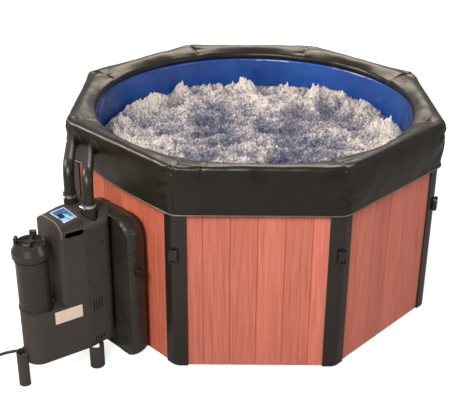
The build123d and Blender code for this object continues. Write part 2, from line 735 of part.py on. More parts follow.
def worm_screw(side):
    """A clamp's tightening screw: it lies along the wall, on the canister's side of the band."""
    away = COUPLER_RADIUS + 1.4 + WORM_RADIUS
    start = at(PIPE_N + away, side * PIPE_HALF_GAP - WORM_LONG / 2, CLAMP_HEIGHT + CLAMP_BAND / 2)
    line = Plane(origin=start, x_dir=OUT, z_dir=ALONG)
    with BuildPart() as worm:
        with BuildSketch(line):
            Circle(WORM_RADIUS)
        extrude(amount=WORM_LONG)
        with BuildSketch(line.offset(WORM_LONG)):
            RegularPolygon(4.2, 6)
        extrude(amount=5)
        with BuildSketch(line.offset(WORM_LONG + 3.5)):
            Rectangle(10, 1.2)
        extrude(amount=2, mode=Mode.SUBTRACT)
    return worm.part


with BuildPart() as bands:
    with BuildSketch(level(CLAMP_HEIGHT)):
        with Locations(*PIPE_PLACES):
            Circle(COUPLER_RADIUS + 1.0)
            Circle(COUPLER_RADIUS + 0.1, mode=Mode.SUBTRACT)
    extrude(amount=CLAMP_BAND)
save("hose_clamps", Compound(children=[*bands.part.solids(), worm_screw(-1), worm_screw(1)]))

# ---- filter canister on the base, and its screw-down lid ----
with BuildPart() as canister:
    with BuildSketch(level(BODY_SEAM + CLEAR)):
        with Locations((FILTER_N, 0)):
            Circle(FILTER_OUTER)
            Circle(FILTER_RADIUS, mode=Mode.SUBTRACT)
    extrude(amount=FILTER_NECK_TOP - 4 - BODY_SEAM - CLEAR)
    for height in (BODY_SEAM + 6, LID_BOTTOM - 14):
        with BuildSketch(level(height)):
            with Locations((FILTER_N, 0)):
                Circle(FILTER_OUTER + 2.5)
                Circle(FILTER_RADIUS + 1, mode=Mode.SUBTRACT)
        extrude(amount=5)
save("filter_canister", canister.part)

SEAL_TUBE = 2.8
NECK = FILTER_NECK_TOP - 4
with BuildPart() as lid_seal:
    with BuildSketch(Plane(origin=at(FILTER_N, 0, 0), x_dir=OUT, z_dir=-ALONG)):
        with Locations((FILTER_RADIUS + 1.5, NECK + 0.1 + SEAL_TUBE)):
            Circle(SEAL_TUBE)
    revolve(axis=Axis(at(FILTER_N, 0, 0), (0, 0, 1)))
save("lid_seal", lid_seal.part)

LID_UNDER = NECK + 2 * SEAL_TUBE + 0.2
LID_RIM_TOP, LID_CROWN_RADIUS, BOWL_RADIUS, BOWL_FLOOR = 466.0, 46.0, 40.0, 482.0
LOBES, LOBE_TALL = 4, 16.0
with BuildPart() as lid:
    with BuildSketch(Plane(origin=at(FILTER_N, 0, 0), x_dir=OUT, z_dir=-ALONG)):
        with BuildLine():
            Polyline(
                (0, LID_UNDER),
                (FILTER_OUTER + 0.6, LID_UNDER),
                (FILTER_OUTER + 0.6, LID_BOTTOM),
                (LID_RADIUS, LID_BOTTOM),
                (LID_RADIUS, LID_RIM_TOP),
                (LID_CROWN_RADIUS, LID_DECK),
                (BOWL_RADIUS, LID_DECK),
                (BOWL_RADIUS - 3, BOWL_FLOOR),
                (0, BOWL_FLOOR),
                close=True,
            )
        make_face()
    revolve(axis=Axis(at(FILTER_N, 0, 0), (0, 0, 1)))
    with BuildSketch(level(BOWL_FLOOR - 1)):
        with Locations((FILTER_N, 0)):
            with PolarLocations(BOWL_RADIUS / 2, LOBES, start_angle=45):
                Rectangle(BOWL_RADIUS + 2, 5)
            Circle(10)
    extrude(amount=LID_DECK - BOWL_FLOOR + 4)
    with BuildSketch(level(LID_UNDER + 1)):
        with Locations((FILTER_N, 0)):
            with PolarLocations(BOWL_RADIUS + 3, LOBES, start_angle=45):
                RectangleRounded(11, 22, 4)
    extrude(amount=LID_DECK + LOBE_TALL - LID_UNDER - 1)
    fillet(lid.edges().group_by(Axis.Z)[-1], 3)
save("filter_lid", lid.part)

# ---- pleated cartridge with its two end caps ----
CARTRIDGE_BOTTOM, CARTRIDGE_TOP = BODY_BOTTOM + SHELL + 2, 438.0
CARTRIDGE_RADIUS, CARTRIDGE_BORE, CAP_THICK, PLEATS = 42.0, 18.0, 9.0, 36
with BuildPart() as media:
    with BuildSketch(level(CARTRIDGE_BOTTOM + CAP_THICK + 0.05)):
        with Locations((FILTER_N, 0)):
            Circle(CARTRIDGE_RADIUS - 3)
            Circle(CARTRIDGE_BORE, mode=Mode.SUBTRACT)
            with PolarLocations(CARTRIDGE_RADIUS - 3, PLEATS):
                Circle(2.0, mode=Mode.SUBTRACT)
    extrude(amount=CARTRIDGE_TOP - CARTRIDGE_BOTTOM - 2 * CAP_THICK - 0.1)
with BuildPart() as cartridge_caps:
    with BuildSketch(level(CARTRIDGE_BOTTOM), level(CARTRIDGE_TOP - CAP_THICK)):
        with Locations((FILTER_N, 0)):
            Circle(CARTRIDGE_RADIUS)
            Circle(CARTRIDGE_BORE, mode=Mode.SUBTRACT)
    extrude(amount=CAP_THICK)
save("filter_cartridge", Compound(children=[media.part.solid(), *cartridge_caps.part.solids()]))

# ---- plain rating plate on the base's slanting flank ----
PLATE_LONG, PLATE_TALL, PLATE_HEIGHT, PLATE_ALONG = 90.0, 43.0, 231.0, 66.0
with BuildPart() as rating_plate:
    plate_n = TAPER_N + PLATE_ALONG * cos(TAPER)
    plate_place = at(plate_n, BODY_HALF - PLATE_ALONG * sin(TAPER), PLATE_HEIGHT)
    with BuildSketch(
        Plane(
            origin=plate_place,
            x_dir=ALONG * sin(TAPER) - OUT * cos(TAPER),
            z_dir=OUT * sin(TAPER) + ALONG * cos(TAPER),
        )
    ):
        Rectangle(PLATE_LONG, PLATE_TALL)
    extrude(amount=0.8)
save("rating_plate", rating_plate.part)

# ---- pump: motor, volute and impeller on one line, low in the body ----
PUMP_T, PUMP_HEIGHT, MOTOR_RADIUS, VOLUTE_RADIUS = 0.0, 148.0, 40.0, 46.0
VOLUTE_N, VOLUTE_LONG, MOTOR_LONG = 742.0, 40.0, 92.0
with BuildPart() as pump_volute:
    with BuildSketch(upright(VOLUTE_N)):
        with Locations((PUMP_T, PUMP_HEIGHT)):
            Circle(VOLUTE_RADIUS)
    extrude(amount=VOLUTE_LONG)
    with BuildSketch(level(PUMP_HEIGHT)):
        with Locations((VOLUTE_N + VOLUTE_LONG / 2, PIPE_HALF_GAP - 12)):
            Circle(15)
    extrude(amount=72)
    with BuildSketch(upright(VOLUTE_N + 5)):
        with Locations((PUMP_T, PUMP_HEIGHT)):
            Circle(VOLUTE_RADIUS - 5)
    extrude(amount=VOLUTE_LONG - 10, mode=Mode.SUBTRACT)
    with BuildSketch(level(PUMP_HEIGHT)):
        with Locations((VOLUTE_N + VOLUTE_LONG / 2, PIPE_HALF_GAP - 12)):
            Circle(12)
    extrude(amount=80, mode=Mode.SUBTRACT)
    with BuildSketch(upright(VOLUTE_N - 1)):
        with Locations((PUMP_T, PUMP_HEIGHT)):
            Circle(13)
    extrude(amount=10, mode=Mode.SUBTRACT)
    with BuildSketch(upright(VOLUTE_N + VOLUTE_LONG - 8)):
        with Locations((PUMP_T, PUMP_HEIGHT)):
            Circle(6)
    extrude(amount=10, mode=Mode.SUBTRACT)

with BuildPart() as pump_impeller:
    with BuildSketch(upright(VOLUTE_N + 9)):
        with Locations((PUMP_T, PUMP_HEIGHT)):
            Circle(32)
    extrude(amount=3)
    with BuildSketch(upright(VOLUTE_N + 11)):
        with Locations((PUMP_T, PUMP_HEIGHT)):
            with PolarLocations(20, 6):
                Rectangle(20, 3)
            Circle(11)
    extrude(amount=14)
    with BuildSketch(upright(VOLUTE_N + 20)):
        with Locations((PUMP_T, PUMP_HEIGHT)):
            Circle(5)
    extrude(amount=VOLUTE_LONG + 10)
save("pump_impeller", pump_impeller.part)

with BuildPart() as pump_motor:
    with BuildSketch(upright(VOLUTE_N + VOLUTE_LONG + CLEAR)):
        with Locations((PUMP_T, PUMP_HEIGHT)):
            Circle(MOTOR_RADIUS)
    extrude(amount=MOTOR_LONG)
    fillet(pump_motor.faces().sort_by(Axis((0, 0, 0), OUT))[-1].edges(), 6)
    with BuildSketch(upright(VOLUTE_N + VOLUTE_LONG)):
        with Locations((PUMP_T, PUMP_HEIGHT)):
            Circle(5.08)
    extrude(amount=40, mode=Mode.SUBTRACT)
    with BuildSketch(level(BODY_BOTTOM + SHELL)):
        with Locations((VOLUTE_N + VOLUTE_LONG + 50, PUMP_T)):
            Rectangle(60, 56)
    extrude(amount=PUMP_HEIGHT - MOTOR_RADIUS - BODY_BOTTOM - SHELL + 6)
save("pump_body", Compound(children=[pump_volute.part.solid(), pump_motor.part.solid()]))

# ---- heater tube in the water line, up to the water pipe's socket ----
HEATER_RADIUS = 19.0
with BuildPart() as heater:
    with BuildSketch(level(PUMP_HEIGHT + 72 + CLEAR)):
        with Locations((VOLUTE_N + VOLUTE_LONG / 2, PIPE_HALF_GAP - 12)):
            Circle(HEATER_RADIUS - 3)
    with BuildSketch(level(300)):
        with Locations((PIPE_N, PIPE_HALF_GAP)):
            Circle(HEATER_RADIUS)
    loft()
    with BuildSketch(level(300)):
        with Locations((PIPE_N, PIPE_HALF_GAP)):
            Circle(HEATER_RADIUS)
    extrude(amount=CONSOLE_BOTTOM - CLEAR - 300)
save("heater_tube", heater.part)

# ---- blower: scroll housing with its outlet up to the air pipe's socket, fan and motor ----
BLOWER_N, BLOWER_HEIGHT, BLOWER_RADIUS = 838.0, 300.0, 48.0
BLOWER_T, BLOWER_WIDE = -52.0, 44.0
FLANK = Plane(origin=at(0, BLOWER_T, 0), x_dir=-OUT, z_dir=ALONG)
with BuildPart() as blower_housing:
    with BuildSketch(FLANK):
        with Locations((-BLOWER_N, BLOWER_HEIGHT)):
            Circle(BLOWER_RADIUS)
    extrude(amount=BLOWER_WIDE)
    with BuildSketch(level(BLOWER_HEIGHT)):
        with Locations((PIPE_N, -PIPE_HALF_GAP)):
            Circle(17)
    extrude(amount=CONSOLE_BOTTOM - CLEAR - BLOWER_HEIGHT)
    with BuildSketch(level(BLOWER_HEIGHT + 4)):
        with Locations((PIPE_N, -PIPE_HALF_GAP)):
            Circle(14)
    extrude(amount=CONSOLE_BOTTOM - BLOWER_HEIGHT, mode=Mode.SUBTRACT)
    with BuildSketch(FLANK.offset(3)):
        with Locations((-BLOWER_N, BLOWER_HEIGHT)):
            Circle(BLOWER_RADIUS - 4)
    extrude(amount=BLOWER_WIDE - 6, mode=Mode.SUBTRACT)
    with BuildSketch(FLANK.offset(-1)):
        with Locations((-BLOWER_N, BLOWER_HEIGHT)):
            Circle(20)
    extrude(amount=6, mode=Mode.SUBTRACT)
    with BuildSketch(FLANK.offset(BLOWER_WIDE - 4)):
        with Locations((-BLOWER_N, BLOWER_HEIGHT)):
            Circle(5)
    extrude(amount=6, mode=Mode.SUBTRACT)

with BuildPart() as blower_fan:
    with BuildSketch(FLANK.offset(BLOWER_WIDE - 12)):
        with Locations((-BLOWER_N, BLOWER_HEIGHT)):
            Circle(36)
    extrude(amount=2.5)
    with BuildSketch(FLANK.offset(BLOWER_WIDE - 34)):
        with Locations((-BLOWER_N, BLOWER_HEIGHT)):
            with PolarLocations(31, 16):
                Rectangle(9, 1.8, rotation=30)
    extrude(amount=23)
    with BuildSketch(FLANK.offset(BLOWER_WIDE - 14)):
        with Locations((-BLOWER_N, BLOWER_HEIGHT)):
            Circle(4)
    extrude(amount=40)
save("blower_fan", blower_fan.part)

with BuildPart() as blower_motor:
    with BuildSketch(FLANK.offset(BLOWER_WIDE + CLEAR)):
        with Locations((-BLOWER_N, BLOWER_HEIGHT)):
            Circle(30)
    extrude(amount=46)
    fillet(blower_motor.faces().sort_by(Axis((0, 0, 0), ALONG))[-1].edges(), 5)
    with BuildSketch(FLANK.offset(BLOWER_WIDE)):
        with Locations((-BLOWER_N, BLOWER_HEIGHT)):
            Circle(4.08)
    extrude(amount=36, mode=Mode.SUBTRACT)
save("blower_body", Compound(children=[blower_housing.part.solid(), blower_motor.part.solid()]))

# ---- control board, hung under the console on its edge ----
with BuildPart() as control_board:
    with BuildSketch(upright(868)):
        with Locations((10, 420)):
            Rectangle(90, 70)
    extrude(amount=1.6)
    with BuildSketch(upright(868)):
        with Locations((-10, 430), (30, 405)):
            Rectangle(24, 18)
    extrude(amount=-12)
save("control_board", control_board.part)

# ---- power cord: strain relief, lead, coil, tail and protected plug ----
CORD_DIAMETER, CORD_TOTAL = 10.0, 3000.0
GLAND = at(FILTER_N, 0, 0) + Vector(-FILTER_OUTER, 0, 98)
WEST = Plane(origin=GLAND + Vector(-CLEAR, 0, 0), x_dir=(0, -1, 0), z_dir=(-1, 0, 0))
GLAND_LONG = 18.0
with BuildPart() as cord_gland:
    with BuildSketch(WEST):
        RegularPolygon(13, 6)
    extrude(amount=6)
    with BuildSketch(WEST.offset(6)):
        Circle(9)
    extrude(amount=GLAND_LONG - 6, taper=10)
save("cord_gland", cord_gland.part)

COIL_AT = Vector(-1045, -610)
COIL_INNER, COIL_OUTER, COIL_TALL = 43.0, 73.0, 28.0
COIL_MEAN = (COIL_INNER + COIL_OUTER) / 2
COIL_TANGENT = sqrt(COIL_OUTER**2 - COIL_MEAN**2)
start = WEST.origin + Vector(-GLAND_LONG, 0, 0)
coil_entry = Vector(COIL_AT.X + COIL_TANGENT, COIL_AT.Y - COIL_MEAN, CORD_DIAMETER / 2 + 0.5)
lead_points = [
    start,
    start + Vector(-42, 0, -8),
    start + Vector(-84, 3, -30),
    start + Vector(-118, 9, -60),
    start + Vector(-158, 16, -84),
    coil_entry + Vector(34, -4, 1.0),
    coil_entry,
]


def bend_radii(points):
    """The largest even arc at each corner: 0.45 of the shorter run over the tangent of half the turn."""
    radii = []
    for before, corner, after in zip(points, points[1:], points[2:]):
        turn = radians((corner - before).get_angle(after - corner))
        shorter = min((corner - before).length, (after - corner).length)
        radii.append(0.45 * shorter / tan(turn / 2))
    return radii


lead_radii = bend_radii(lead_points)
print("cord radii", [round(radius) for radius in lead_radii])
TAIL_LONG = 60.0
tail_start = Vector(COIL_AT.X - COIL_MEAN, COIL_AT.Y + COIL_TANGENT, COIL_TALL / 2)
with BuildPart() as power_cord:
    with BuildLine() as lead:
        FilletPolyline(*lead_points, radius=lead_radii)
    with BuildSketch(WEST.offset(GLAND_LONG)):
        Circle(CORD_DIAMETER / 2)
    sweep(path=lead.wires()[0])
    with BuildSketch(Plane(origin=tail_start, z_dir=(0, 1, 0))):
        Circle(CORD_DIAMETER / 2)
    extrude(amount=TAIL_LONG)
print("cord volume", round(power_cord.part.volume), "lead length", round(lead.wires()[0].length))
save("power_cord", power_cord.part)

with BuildPart() as cord_coil:
    with BuildSketch(Plane.XY.offset(0.2)):
        with Locations((COIL_AT.X, COIL_AT.Y)):
            Circle(COIL_OUTER)
            Circle(COIL_INNER, mode=Mode.SUBTRACT)
    extrude(amount=COIL_TALL)
    fillet(cord_coil.edges().filter_by(GeomType.CIRCLE), 5)
save("cord_coil", cord_coil.part)

PLUG_LONG, PLUG_WIDE, PLUG_TALL = 78.0, 50.0, 30.0
PLUG = Plane(origin=tail_start + Vector(0, TAIL_LONG, 0), x_dir=(1, 0, 0), z_dir=(0, 1, 0))
PLUG_MIDDLE = Vector(PLUG.origin.X, PLUG.origin.Y + 14 + PLUG_LONG / 2, 0)
PLUG_BUTTONS = ((0.0, 12.0), (0.0, -12.0))
with BuildPart() as plug_body:
    with BuildSketch(Plane.XY.offset(0.3)):
        with Locations((PLUG_MIDDLE.X, PLUG_MIDDLE.Y)):
            RectangleRounded(PLUG_WIDE, PLUG_LONG, 9)
    extrude(amount=PLUG_TALL)
    fillet(plug_body.faces().sort_by(Axis.Z)[-1].edges(), 4)
    with BuildSketch(PLUG):
        Circle(8)
    extrude(amount=16)
    with BuildSketch(Plane.XY.offset(PLUG_TALL - 6)):
        with Locations(*[(PLUG_MIDDLE.X + x, PLUG_MIDDLE.Y + y) for x, y in PLUG_BUTTONS]):
            Rectangle(16.6, 10.6)
    extrude(amount=12, mode=Mode.SUBTRACT)
save("plug_body", plug_body.part)

with BuildPart() as plug_pins:
    with BuildSketch(PLUG.offset(14 + PLUG_LONG + CLEAR)):
        with Locations((-6.4, 4), (6.4, 4)):
            Rectangle(1.6, 6.6)
        with Locations((0, -6)):
            Circle(2.4)
    extrude(amount=18)
save("plug_pins", plug_pins.part)

for name, (x, y) in zip(("plug_test_button", "plug_reset_button"), PLUG_BUTTONS):
    with BuildPart() as button:
        with BuildSketch(Plane.XY.offset(PLUG_TALL - 3.5)):
            with Locations((PLUG_MIDDLE.X + x, PLUG_MIDDLE.Y + y)):
                Rectangle(16, 10)
        extrude(amount=5.5)
        fillet(button.faces().sort_by(Axis.Z)[-1].edges(), 0.8)
    save(name, button.part)
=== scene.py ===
import math

import bmesh
import bpy
from mathutils import Matrix, Vector, noise
from mathutils.bvhtree import BVHTree


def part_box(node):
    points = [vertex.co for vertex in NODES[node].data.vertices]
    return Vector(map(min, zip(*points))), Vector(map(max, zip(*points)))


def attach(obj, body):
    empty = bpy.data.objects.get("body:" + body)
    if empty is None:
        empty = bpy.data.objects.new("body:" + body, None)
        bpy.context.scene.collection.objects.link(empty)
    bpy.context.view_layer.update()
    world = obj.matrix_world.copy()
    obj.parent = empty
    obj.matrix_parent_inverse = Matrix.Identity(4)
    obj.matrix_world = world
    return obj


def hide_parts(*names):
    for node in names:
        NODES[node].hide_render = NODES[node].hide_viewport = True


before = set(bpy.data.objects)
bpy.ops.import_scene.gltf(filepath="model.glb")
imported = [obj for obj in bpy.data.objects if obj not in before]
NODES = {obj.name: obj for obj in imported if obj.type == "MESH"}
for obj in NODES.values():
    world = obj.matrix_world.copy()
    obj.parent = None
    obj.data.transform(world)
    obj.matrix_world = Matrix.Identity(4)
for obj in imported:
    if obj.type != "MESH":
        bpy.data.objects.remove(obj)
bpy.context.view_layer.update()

ROOT = "tub_and_pack"
SIDES = 8
PACK_SIDE = 7  # the side the equipment pack stands at, counted from the front one
HALF_SIDE = math.pi / SIDES

# ---- sizes read from the frame ----
WALL_LOW, WALL_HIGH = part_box("wall_panel_1")
COLLAR_LOW, COLLAR_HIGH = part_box("collar_cover")
LINER_LOW, LINER_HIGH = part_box("liner")
RING_LOW, RING_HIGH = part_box("air_ring")
WALL_APOTHEM = -WALL_LOW.y
COLLAR_APOTHEM = COLLAR_HIGH.x
LINER_RADIUS = LINER_HIGH.x
PLANK_PITCH = 0.084
WATER_LEVEL, WAVE_SPAN = 0.550, 0.09
OUT = Vector((-1, -1, 0)).normalized()
ALONG = Vector((1, -1, 0)).normalized()


def at(n, t, z):
    """A place in the pack's own directions: n out from the tub's centre, t along the wall, z up."""
    return OUT * n + ALONG * t + Vector((0, 0, z))


def smooth_step(x):
    x = min(1.0, max(0.0, x))
    return x * x * (3 - 2 * x)


# ---- materials ----
class Paint:
    """One procedural material: its Principled shader, and short ways to add the nodes that feed it."""

    def __init__(self, name, **sockets):
        self.material = bpy.data.materials.new(name)
        self.material.use_nodes = True
        self.tree = self.material.node_tree
        self.shader = self.tree.nodes["Principled BSDF"]
        self.place = self.new("ShaderNodeTexCoord").outputs["Object"]
        for socket, value in sockets.items():
            self.feed(self.shader.inputs[socket.replace("_", " ")], value)

    def new(self, kind, **settings):
        node = self.tree.nodes.new(kind)
        for name, value in settings.items():
            setattr(node, name, value)
        return node

    def feed(self, socket, value):
        if isinstance(value, bpy.types.NodeSocket):
            self.tree.links.new(value, socket)
        elif isinstance(value, tuple) and len(value) == 3 and socket.type == "RGBA":
            socket.default_value = (*value, 1)
        else:
            socket.default_value = value

    def math(self, operation, a, b=0.0, c=0.0):
        node = self.new("ShaderNodeMath", operation=operation)
        for socket, value in zip(node.inputs, (a, b, c)):
            self.feed(socket, value)
        return node.outputs[0]

    def vector(self, operation, a, b=(0, 0, 0), output=0):
        node = self.new("ShaderNodeVectorMath", operation=operation)
        self.feed(node.inputs[0], a)
        self.feed(node.inputs[1], b)
        return node.outputs[output]

    def stretched(self, x, y, z):
        return self.vector("MULTIPLY", self.place, (x, y, z))

    def axis(self, direction):
        """How far along a direction each point lies."""
        return self.vector("DOT_PRODUCT", self.place, tuple(direction), output=1)

    def noise(self, scale, detail=4.0, roughness=0.5, distortion=0.0, vector=None):
        node = self.new("ShaderNodeTexNoise")
        self.feed(node.inputs["Vector"], vector or self.place)
        node.inputs["Scale"].default_value = scale
        node.inputs["Detail"].default_value = detail
        node.inputs["Roughness"].default_value = roughness
        node.inputs["Distortion"].default_value = distortion
        return node.outputs["Fac"]

    def cells(self, scale, feature="F1"):
        node = self.new("ShaderNodeTexVoronoi", feature=feature)
        self.feed(node.inputs["Vector"], self.place)
        node.inputs["Scale"].default_value = scale
        return node.outputs["Distance"]

    def ramp(self, value, *stops):
        node = self.new("ShaderNodeValToRGB")
        self.feed(node.inputs[0], value)
        elements = node.color_ramp.elements
        while len(elements) < len(stops):
            elements.new(0.5)
        for element, (position, colour) in zip(elements, stops):
            element.position = position
            element.color = (*colour, 1) if isinstance(colour, tuple) else (colour, colour, colour, 1)
        return node.outputs[0]

    def mix(self, factor, a, b, blend="MIX"):
        node = self.new("ShaderNodeMix", data_type="RGBA", blend_type=blend)
        self.feed(node.inputs["Factor"], factor)
        self.feed(node.inputs[6], a)
        self.feed(node.inputs[7], b)
        return node.outputs[2]

    def bump(self, height, distance, strength=1.0):
        node = self.new("ShaderNodeBump")
        self.feed(node.inputs["Height"], height)
        node.inputs["Distance"].default_value = distance
        node.inputs["Strength"].default_value = strength
        self.feed(self.shader.inputs["Normal"], node.outputs[0])
        return self

    def colour(self, value):
        self.feed(self.shader.inputs["Base Color"], value)
        return self

    def roughness(self, value):
        self.feed(self.shader.inputs["Roughness"], value)
        return self


def redwood(side):
    """Stained plank boards: each plank its own tone, with upright grain, dark streaks and fine pores."""
    angle = -math.pi / 2 + side * 2 * HALF_SIDE
    paint = Paint(f"redwood_{side + 1}", Specular_IOR_Level=0.35)
    across = paint.axis((-math.sin(angle), math.cos(angle), 0))
    plank = paint.math("FLOOR", paint.math("DIVIDE", across, PLANK_PITCH))
    tone = paint.new("ShaderNodeTexWhiteNoise", noise_dimensions="1D")
    paint.feed(tone.inputs["W"], paint.math("ADD", plank, 13.7 * side))
    offset = paint.math("MULTIPLY", tone.outputs["Value"], 3.0)
    height = paint.axis((0, 0, 1))
    grain_place = paint.new("ShaderNodeCombineXYZ")
    paint.feed(grain_place.inputs[0], paint.math("MULTIPLY", across, 42.0))
    paint.feed(grain_place.inputs[1], offset)
    paint.feed(grain_place.inputs[2], paint.math("MULTIPLY_ADD", height, 1.7, offset))
    grain = paint.noise(2.2, 7.0, 0.62, 0.6, grain_place.outputs[0])
    streak_place = paint.new("ShaderNodeCombineXYZ")
    paint.feed(streak_place.inputs[0], paint.math("MULTIPLY", across, 260.0))
    paint.feed(streak_place.inputs[1], offset)
    paint.feed(streak_place.inputs[2], paint.math("MULTIPLY", height, 5.0))
    pores = paint.noise(1.5, 3.0, 0.6, 0.0, streak_place.outputs[0])
    base = paint.ramp(
        grain,
        (0.25, (0.46, 0.112, 0.076)),
        (0.45, (0.60, 0.172, 0.122)),
        (0.60, (0.66, 0.205, 0.150)),
        (0.80, (0.53, 0.142, 0.100)),
    )
    shaded = paint.mix(paint.ramp(pores, (0.35, 0.32), (0.6, 0.0)), base, (0.30, 0.072, 0.050))
    toned = paint.mix(1.0, shaded, paint.ramp(tone.outputs["Value"], (0.0, 0.86), (1.0, 1.10)), "MULTIPLY")
    # the panel at the pack's side is tinted warmer and darker than the others
    colour_shift = (1.0, 0.86, 0.72) if side == PACK_SIDE else (1.0, 1.0, 1.0)
    paint.colour(paint.mix(1.0, toned, colour_shift, "MULTIPLY"))
    paint.roughness(paint.ramp(grain, (0.3, 0.42), (0.7, 0.56)))
    return paint.bump(pores, 0.0004, 0.6).material


CREASE_DEPTH = 0.0012


def vinyl(name, dark, light, gloss, shine=0.5):
    """Coated vinyl: faint leather grain, soft creases and slightly uneven gloss."""
    paint = Paint(name, Specular_IOR_Level=shine)
    patches = paint.noise(9.0, 5.0, 0.6)
    grain = paint.cells(620.0)
    creases = paint.noise(26.0, 3.0, 0.45, 1.4)
    paint.colour(paint.mix(paint.ramp(patches, (0.3, 0.0), (0.7, 1.0)), dark, light))
    paint.roughness(paint.ramp(patches, (0.25, gloss - 0.05), (0.75, gloss + 0.09)))
    relief = paint.math("MULTIPLY_ADD", grain, 0.10, creases)
    return paint.bump(relief, CREASE_DEPTH, 0.55).material


def moulded(name, colour, gloss=0.5, texture=900.0, depth=0.00022, wear=0.25):
    """Moulded plastic: a fine spark-eroded texture and duller, lighter handled patches."""
    paint = Paint(name, Specular_IOR_Level=0.45)
    light = tuple(min(1.0, channel * 1.5 + 0.012) for channel in colour)
    patches = paint.noise(7.0, 6.0, 0.65)
    paint.colour(paint.mix(paint.ramp(patches, (0.42, 0.0), (0.8, wear)), colour, light))
    paint.roughness(paint.ramp(patches, (0.3, gloss - 0.05), (0.75, gloss + 0.1)))
    return paint.bump(paint.noise(texture, 2.0), depth, 0.5).material


def rubber(name, colour, gloss=0.6):
    paint = Paint(name, Specular_IOR_Level=0.35)
    dust = paint.noise(40.0, 5.0, 0.7)
    pale = tuple(channel * 2.2 + 0.01 for channel in colour)
    paint.colour(paint.mix(paint.ramp(dust, (0.5, 0.0), (0.85, 0.5)), colour, pale))
    paint.roughness(paint.ramp(dust, (0.3, gloss - 0.1), (0.8, gloss + 0.12)))
    return paint.bump(paint.noise(700.0, 2.0), 0.0002, 0.5).material


def metal(name, colour, gloss=0.3):
    """Machined metal: brushed lines and slight tarnish."""
    paint = Paint(name, Metallic=1.0)
    lines = paint.noise(60.0, 4.0, 0.6, 0.0, paint.stretched(1.0, 1.0, 30.0))
    tarnish = paint.noise(90.0, 4.0)
    dull = tuple(channel * 0.62 for channel in colour)
    paint.colour(paint.mix(paint.ramp(tarnish, (0.4, 0.0), (0.75, 0.7)), colour, dull))
    paint.roughness(paint.ramp(lines, (0.3, gloss - 0.08), (0.7, gloss + 0.15)))
    return paint.bump(lines, 0.0001, 0.4).material


def liner_blue():
    """Glossy pool vinyl: deep blue, with long soft creases."""
    paint = Paint("liner_blue", Specular_IOR_Level=0.6)
    patches = paint.noise(5.0, 4.0, 0.55)
    creases = paint.noise(9.0, 5.0, 0.5, 1.6, paint.stretched(1.0, 1.0, 0.35))
    deep, pale = (0.010, 0.048, 0.235), (0.018, 0.085, 0.36)
    paint.colour(paint.mix(paint.ramp(patches, (0.3, 0.0), (0.7, 1.0)), deep, pale))
    paint.roughness(paint.ramp(creases, (0.3, 0.16), (0.7, 0.30)))
    return paint.bump(creases, 0.004, 0.5).material


def foam():
    """Aerated water: pale crests of tiny bubbles over grey-blue troughs, with painted highlights on the
    crests and painted glints on the bubbles.
    """
    paint = Paint("foaming_water", Specular_IOR_Level=0.6)
    paint.shader.inputs["Subsurface Weight"].default_value = 0.15
    paint.shader.inputs["Subsurface Radius"].default_value = (0.01, 0.012, 0.02)
    height = paint.axis((0, 0, 1))
    lift = paint.math("MULTIPLY_ADD", height, 1 / WAVE_SPAN, -WATER_LEVEL / WAVE_SPAN + 0.45)
    bubbles = paint.noise(118.0, 3.0, 0.85, 0.7)
    froth = paint.noise(20.0, 6.0, 0.72, 1.2)
    amount = paint.math("ADD", paint.math("MULTIPLY", lift, 0.60), paint.math("MULTIPLY", froth, 0.75))
    foam_and_glint_level = paint.math("MULTIPLY_ADD", bubbles, 1.10, paint.math("SUBTRACT", amount, 0.70))
    # the pale warm stops are partly foam and partly painted highlights and glints
    paint.colour(
        paint.ramp(
            foam_and_glint_level,
            (0.24, (0.022, 0.036, 0.105)),
            (0.40, (0.115, 0.135, 0.225)),
            (0.55, (0.330, 0.310, 0.350)),
            (0.72, (0.860, 0.790, 0.760)),
        )
    )
    paint.roughness(paint.ramp(bubbles, (0.3, 0.10), (0.7, 0.36)))
    return paint.bump(paint.math("ADD", bubbles, froth), 0.010, 1.0).material


# ---- building pieces ----
def add_piece(name, bm, material):
    """A finished, smooth-shaded piece from a bmesh, riding on the body of tub and pack."""
    mesh = bpy.data.meshes.new(name)
    bmesh.ops.recalc_face_normals(bm, faces=bm.faces)
    bm.to_mesh(mesh)
    bm.free()
    mesh.shade_smooth()
    piece = bpy.data.objects.new(name, mesh)
    bpy.context.scene.collection.objects.link(piece)
    mesh.materials.append(material)
    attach(piece, ROOT)
    return piece


def loop_grid(bm, rings, closed_rings=True):
    """Skins a list of rings of points, each closed on itself; the list also closes when asked."""
    rows = [[bm.verts.new(point) for point in ring] for ring in rings]
    pairs = list(zip(rows, rows[1:]))
    if closed_rings:
        pairs.append((rows[-1], rows[0]))
    for low, high in pairs:
        count = len(low)
        for i in range(count):
            bm.faces.new((low[i], low[(i + 1) % count], high[(i + 1) % count], high[i]))
    return rows


def close_ring(bm, ring, heart):
    """Fans a ring of vertices in to one more vertex at its heart."""
    centre = bm.verts.new(heart)
    for i in range(len(ring)):
        bm.faces.new((ring[i], ring[(i + 1) % len(ring)], centre))


def turned(radius, angle, height):
    """A point at a distance and an angle from the tub's axis, at a height."""
    return radius * math.cos(angle), radius * math.sin(angle), height


# ---- the collar's padded cover ----
CORNER_ROUND = 0.060
COLUMNS_PER_SIDE = 120
COLUMNS = SIDES * COLUMNS_PER_SIDE
COLUMN_ANGLES = [-math.pi / 2 - HALF_SIDE + 2 * math.pi * column / COLUMNS for column in range(COLUMNS)]
SIDE_HALF = COLLAR_APOTHEM * math.tan(HALF_SIDE)


def octagon_radius(angle, apothem, corner):
    """Distance from the centre to an eight-sided outline with rounded corners, a flat side towards -Y."""
    off = (angle + math.pi / 2) % (2 * HALF_SIDE)
    off = abs(off - HALF_SIDE)
    heart = (apothem - corner) / math.cos(HALF_SIDE)
    tangent = math.atan2(corner * math.sin(HALF_SIDE), heart + corner * math.cos(HALF_SIDE))
    if off >= tangent:
        return apothem / math.cos(HALF_SIDE - off)
    return heart * math.cos(off) + math.sqrt(corner**2 - (heart * math.sin(off)) ** 2)


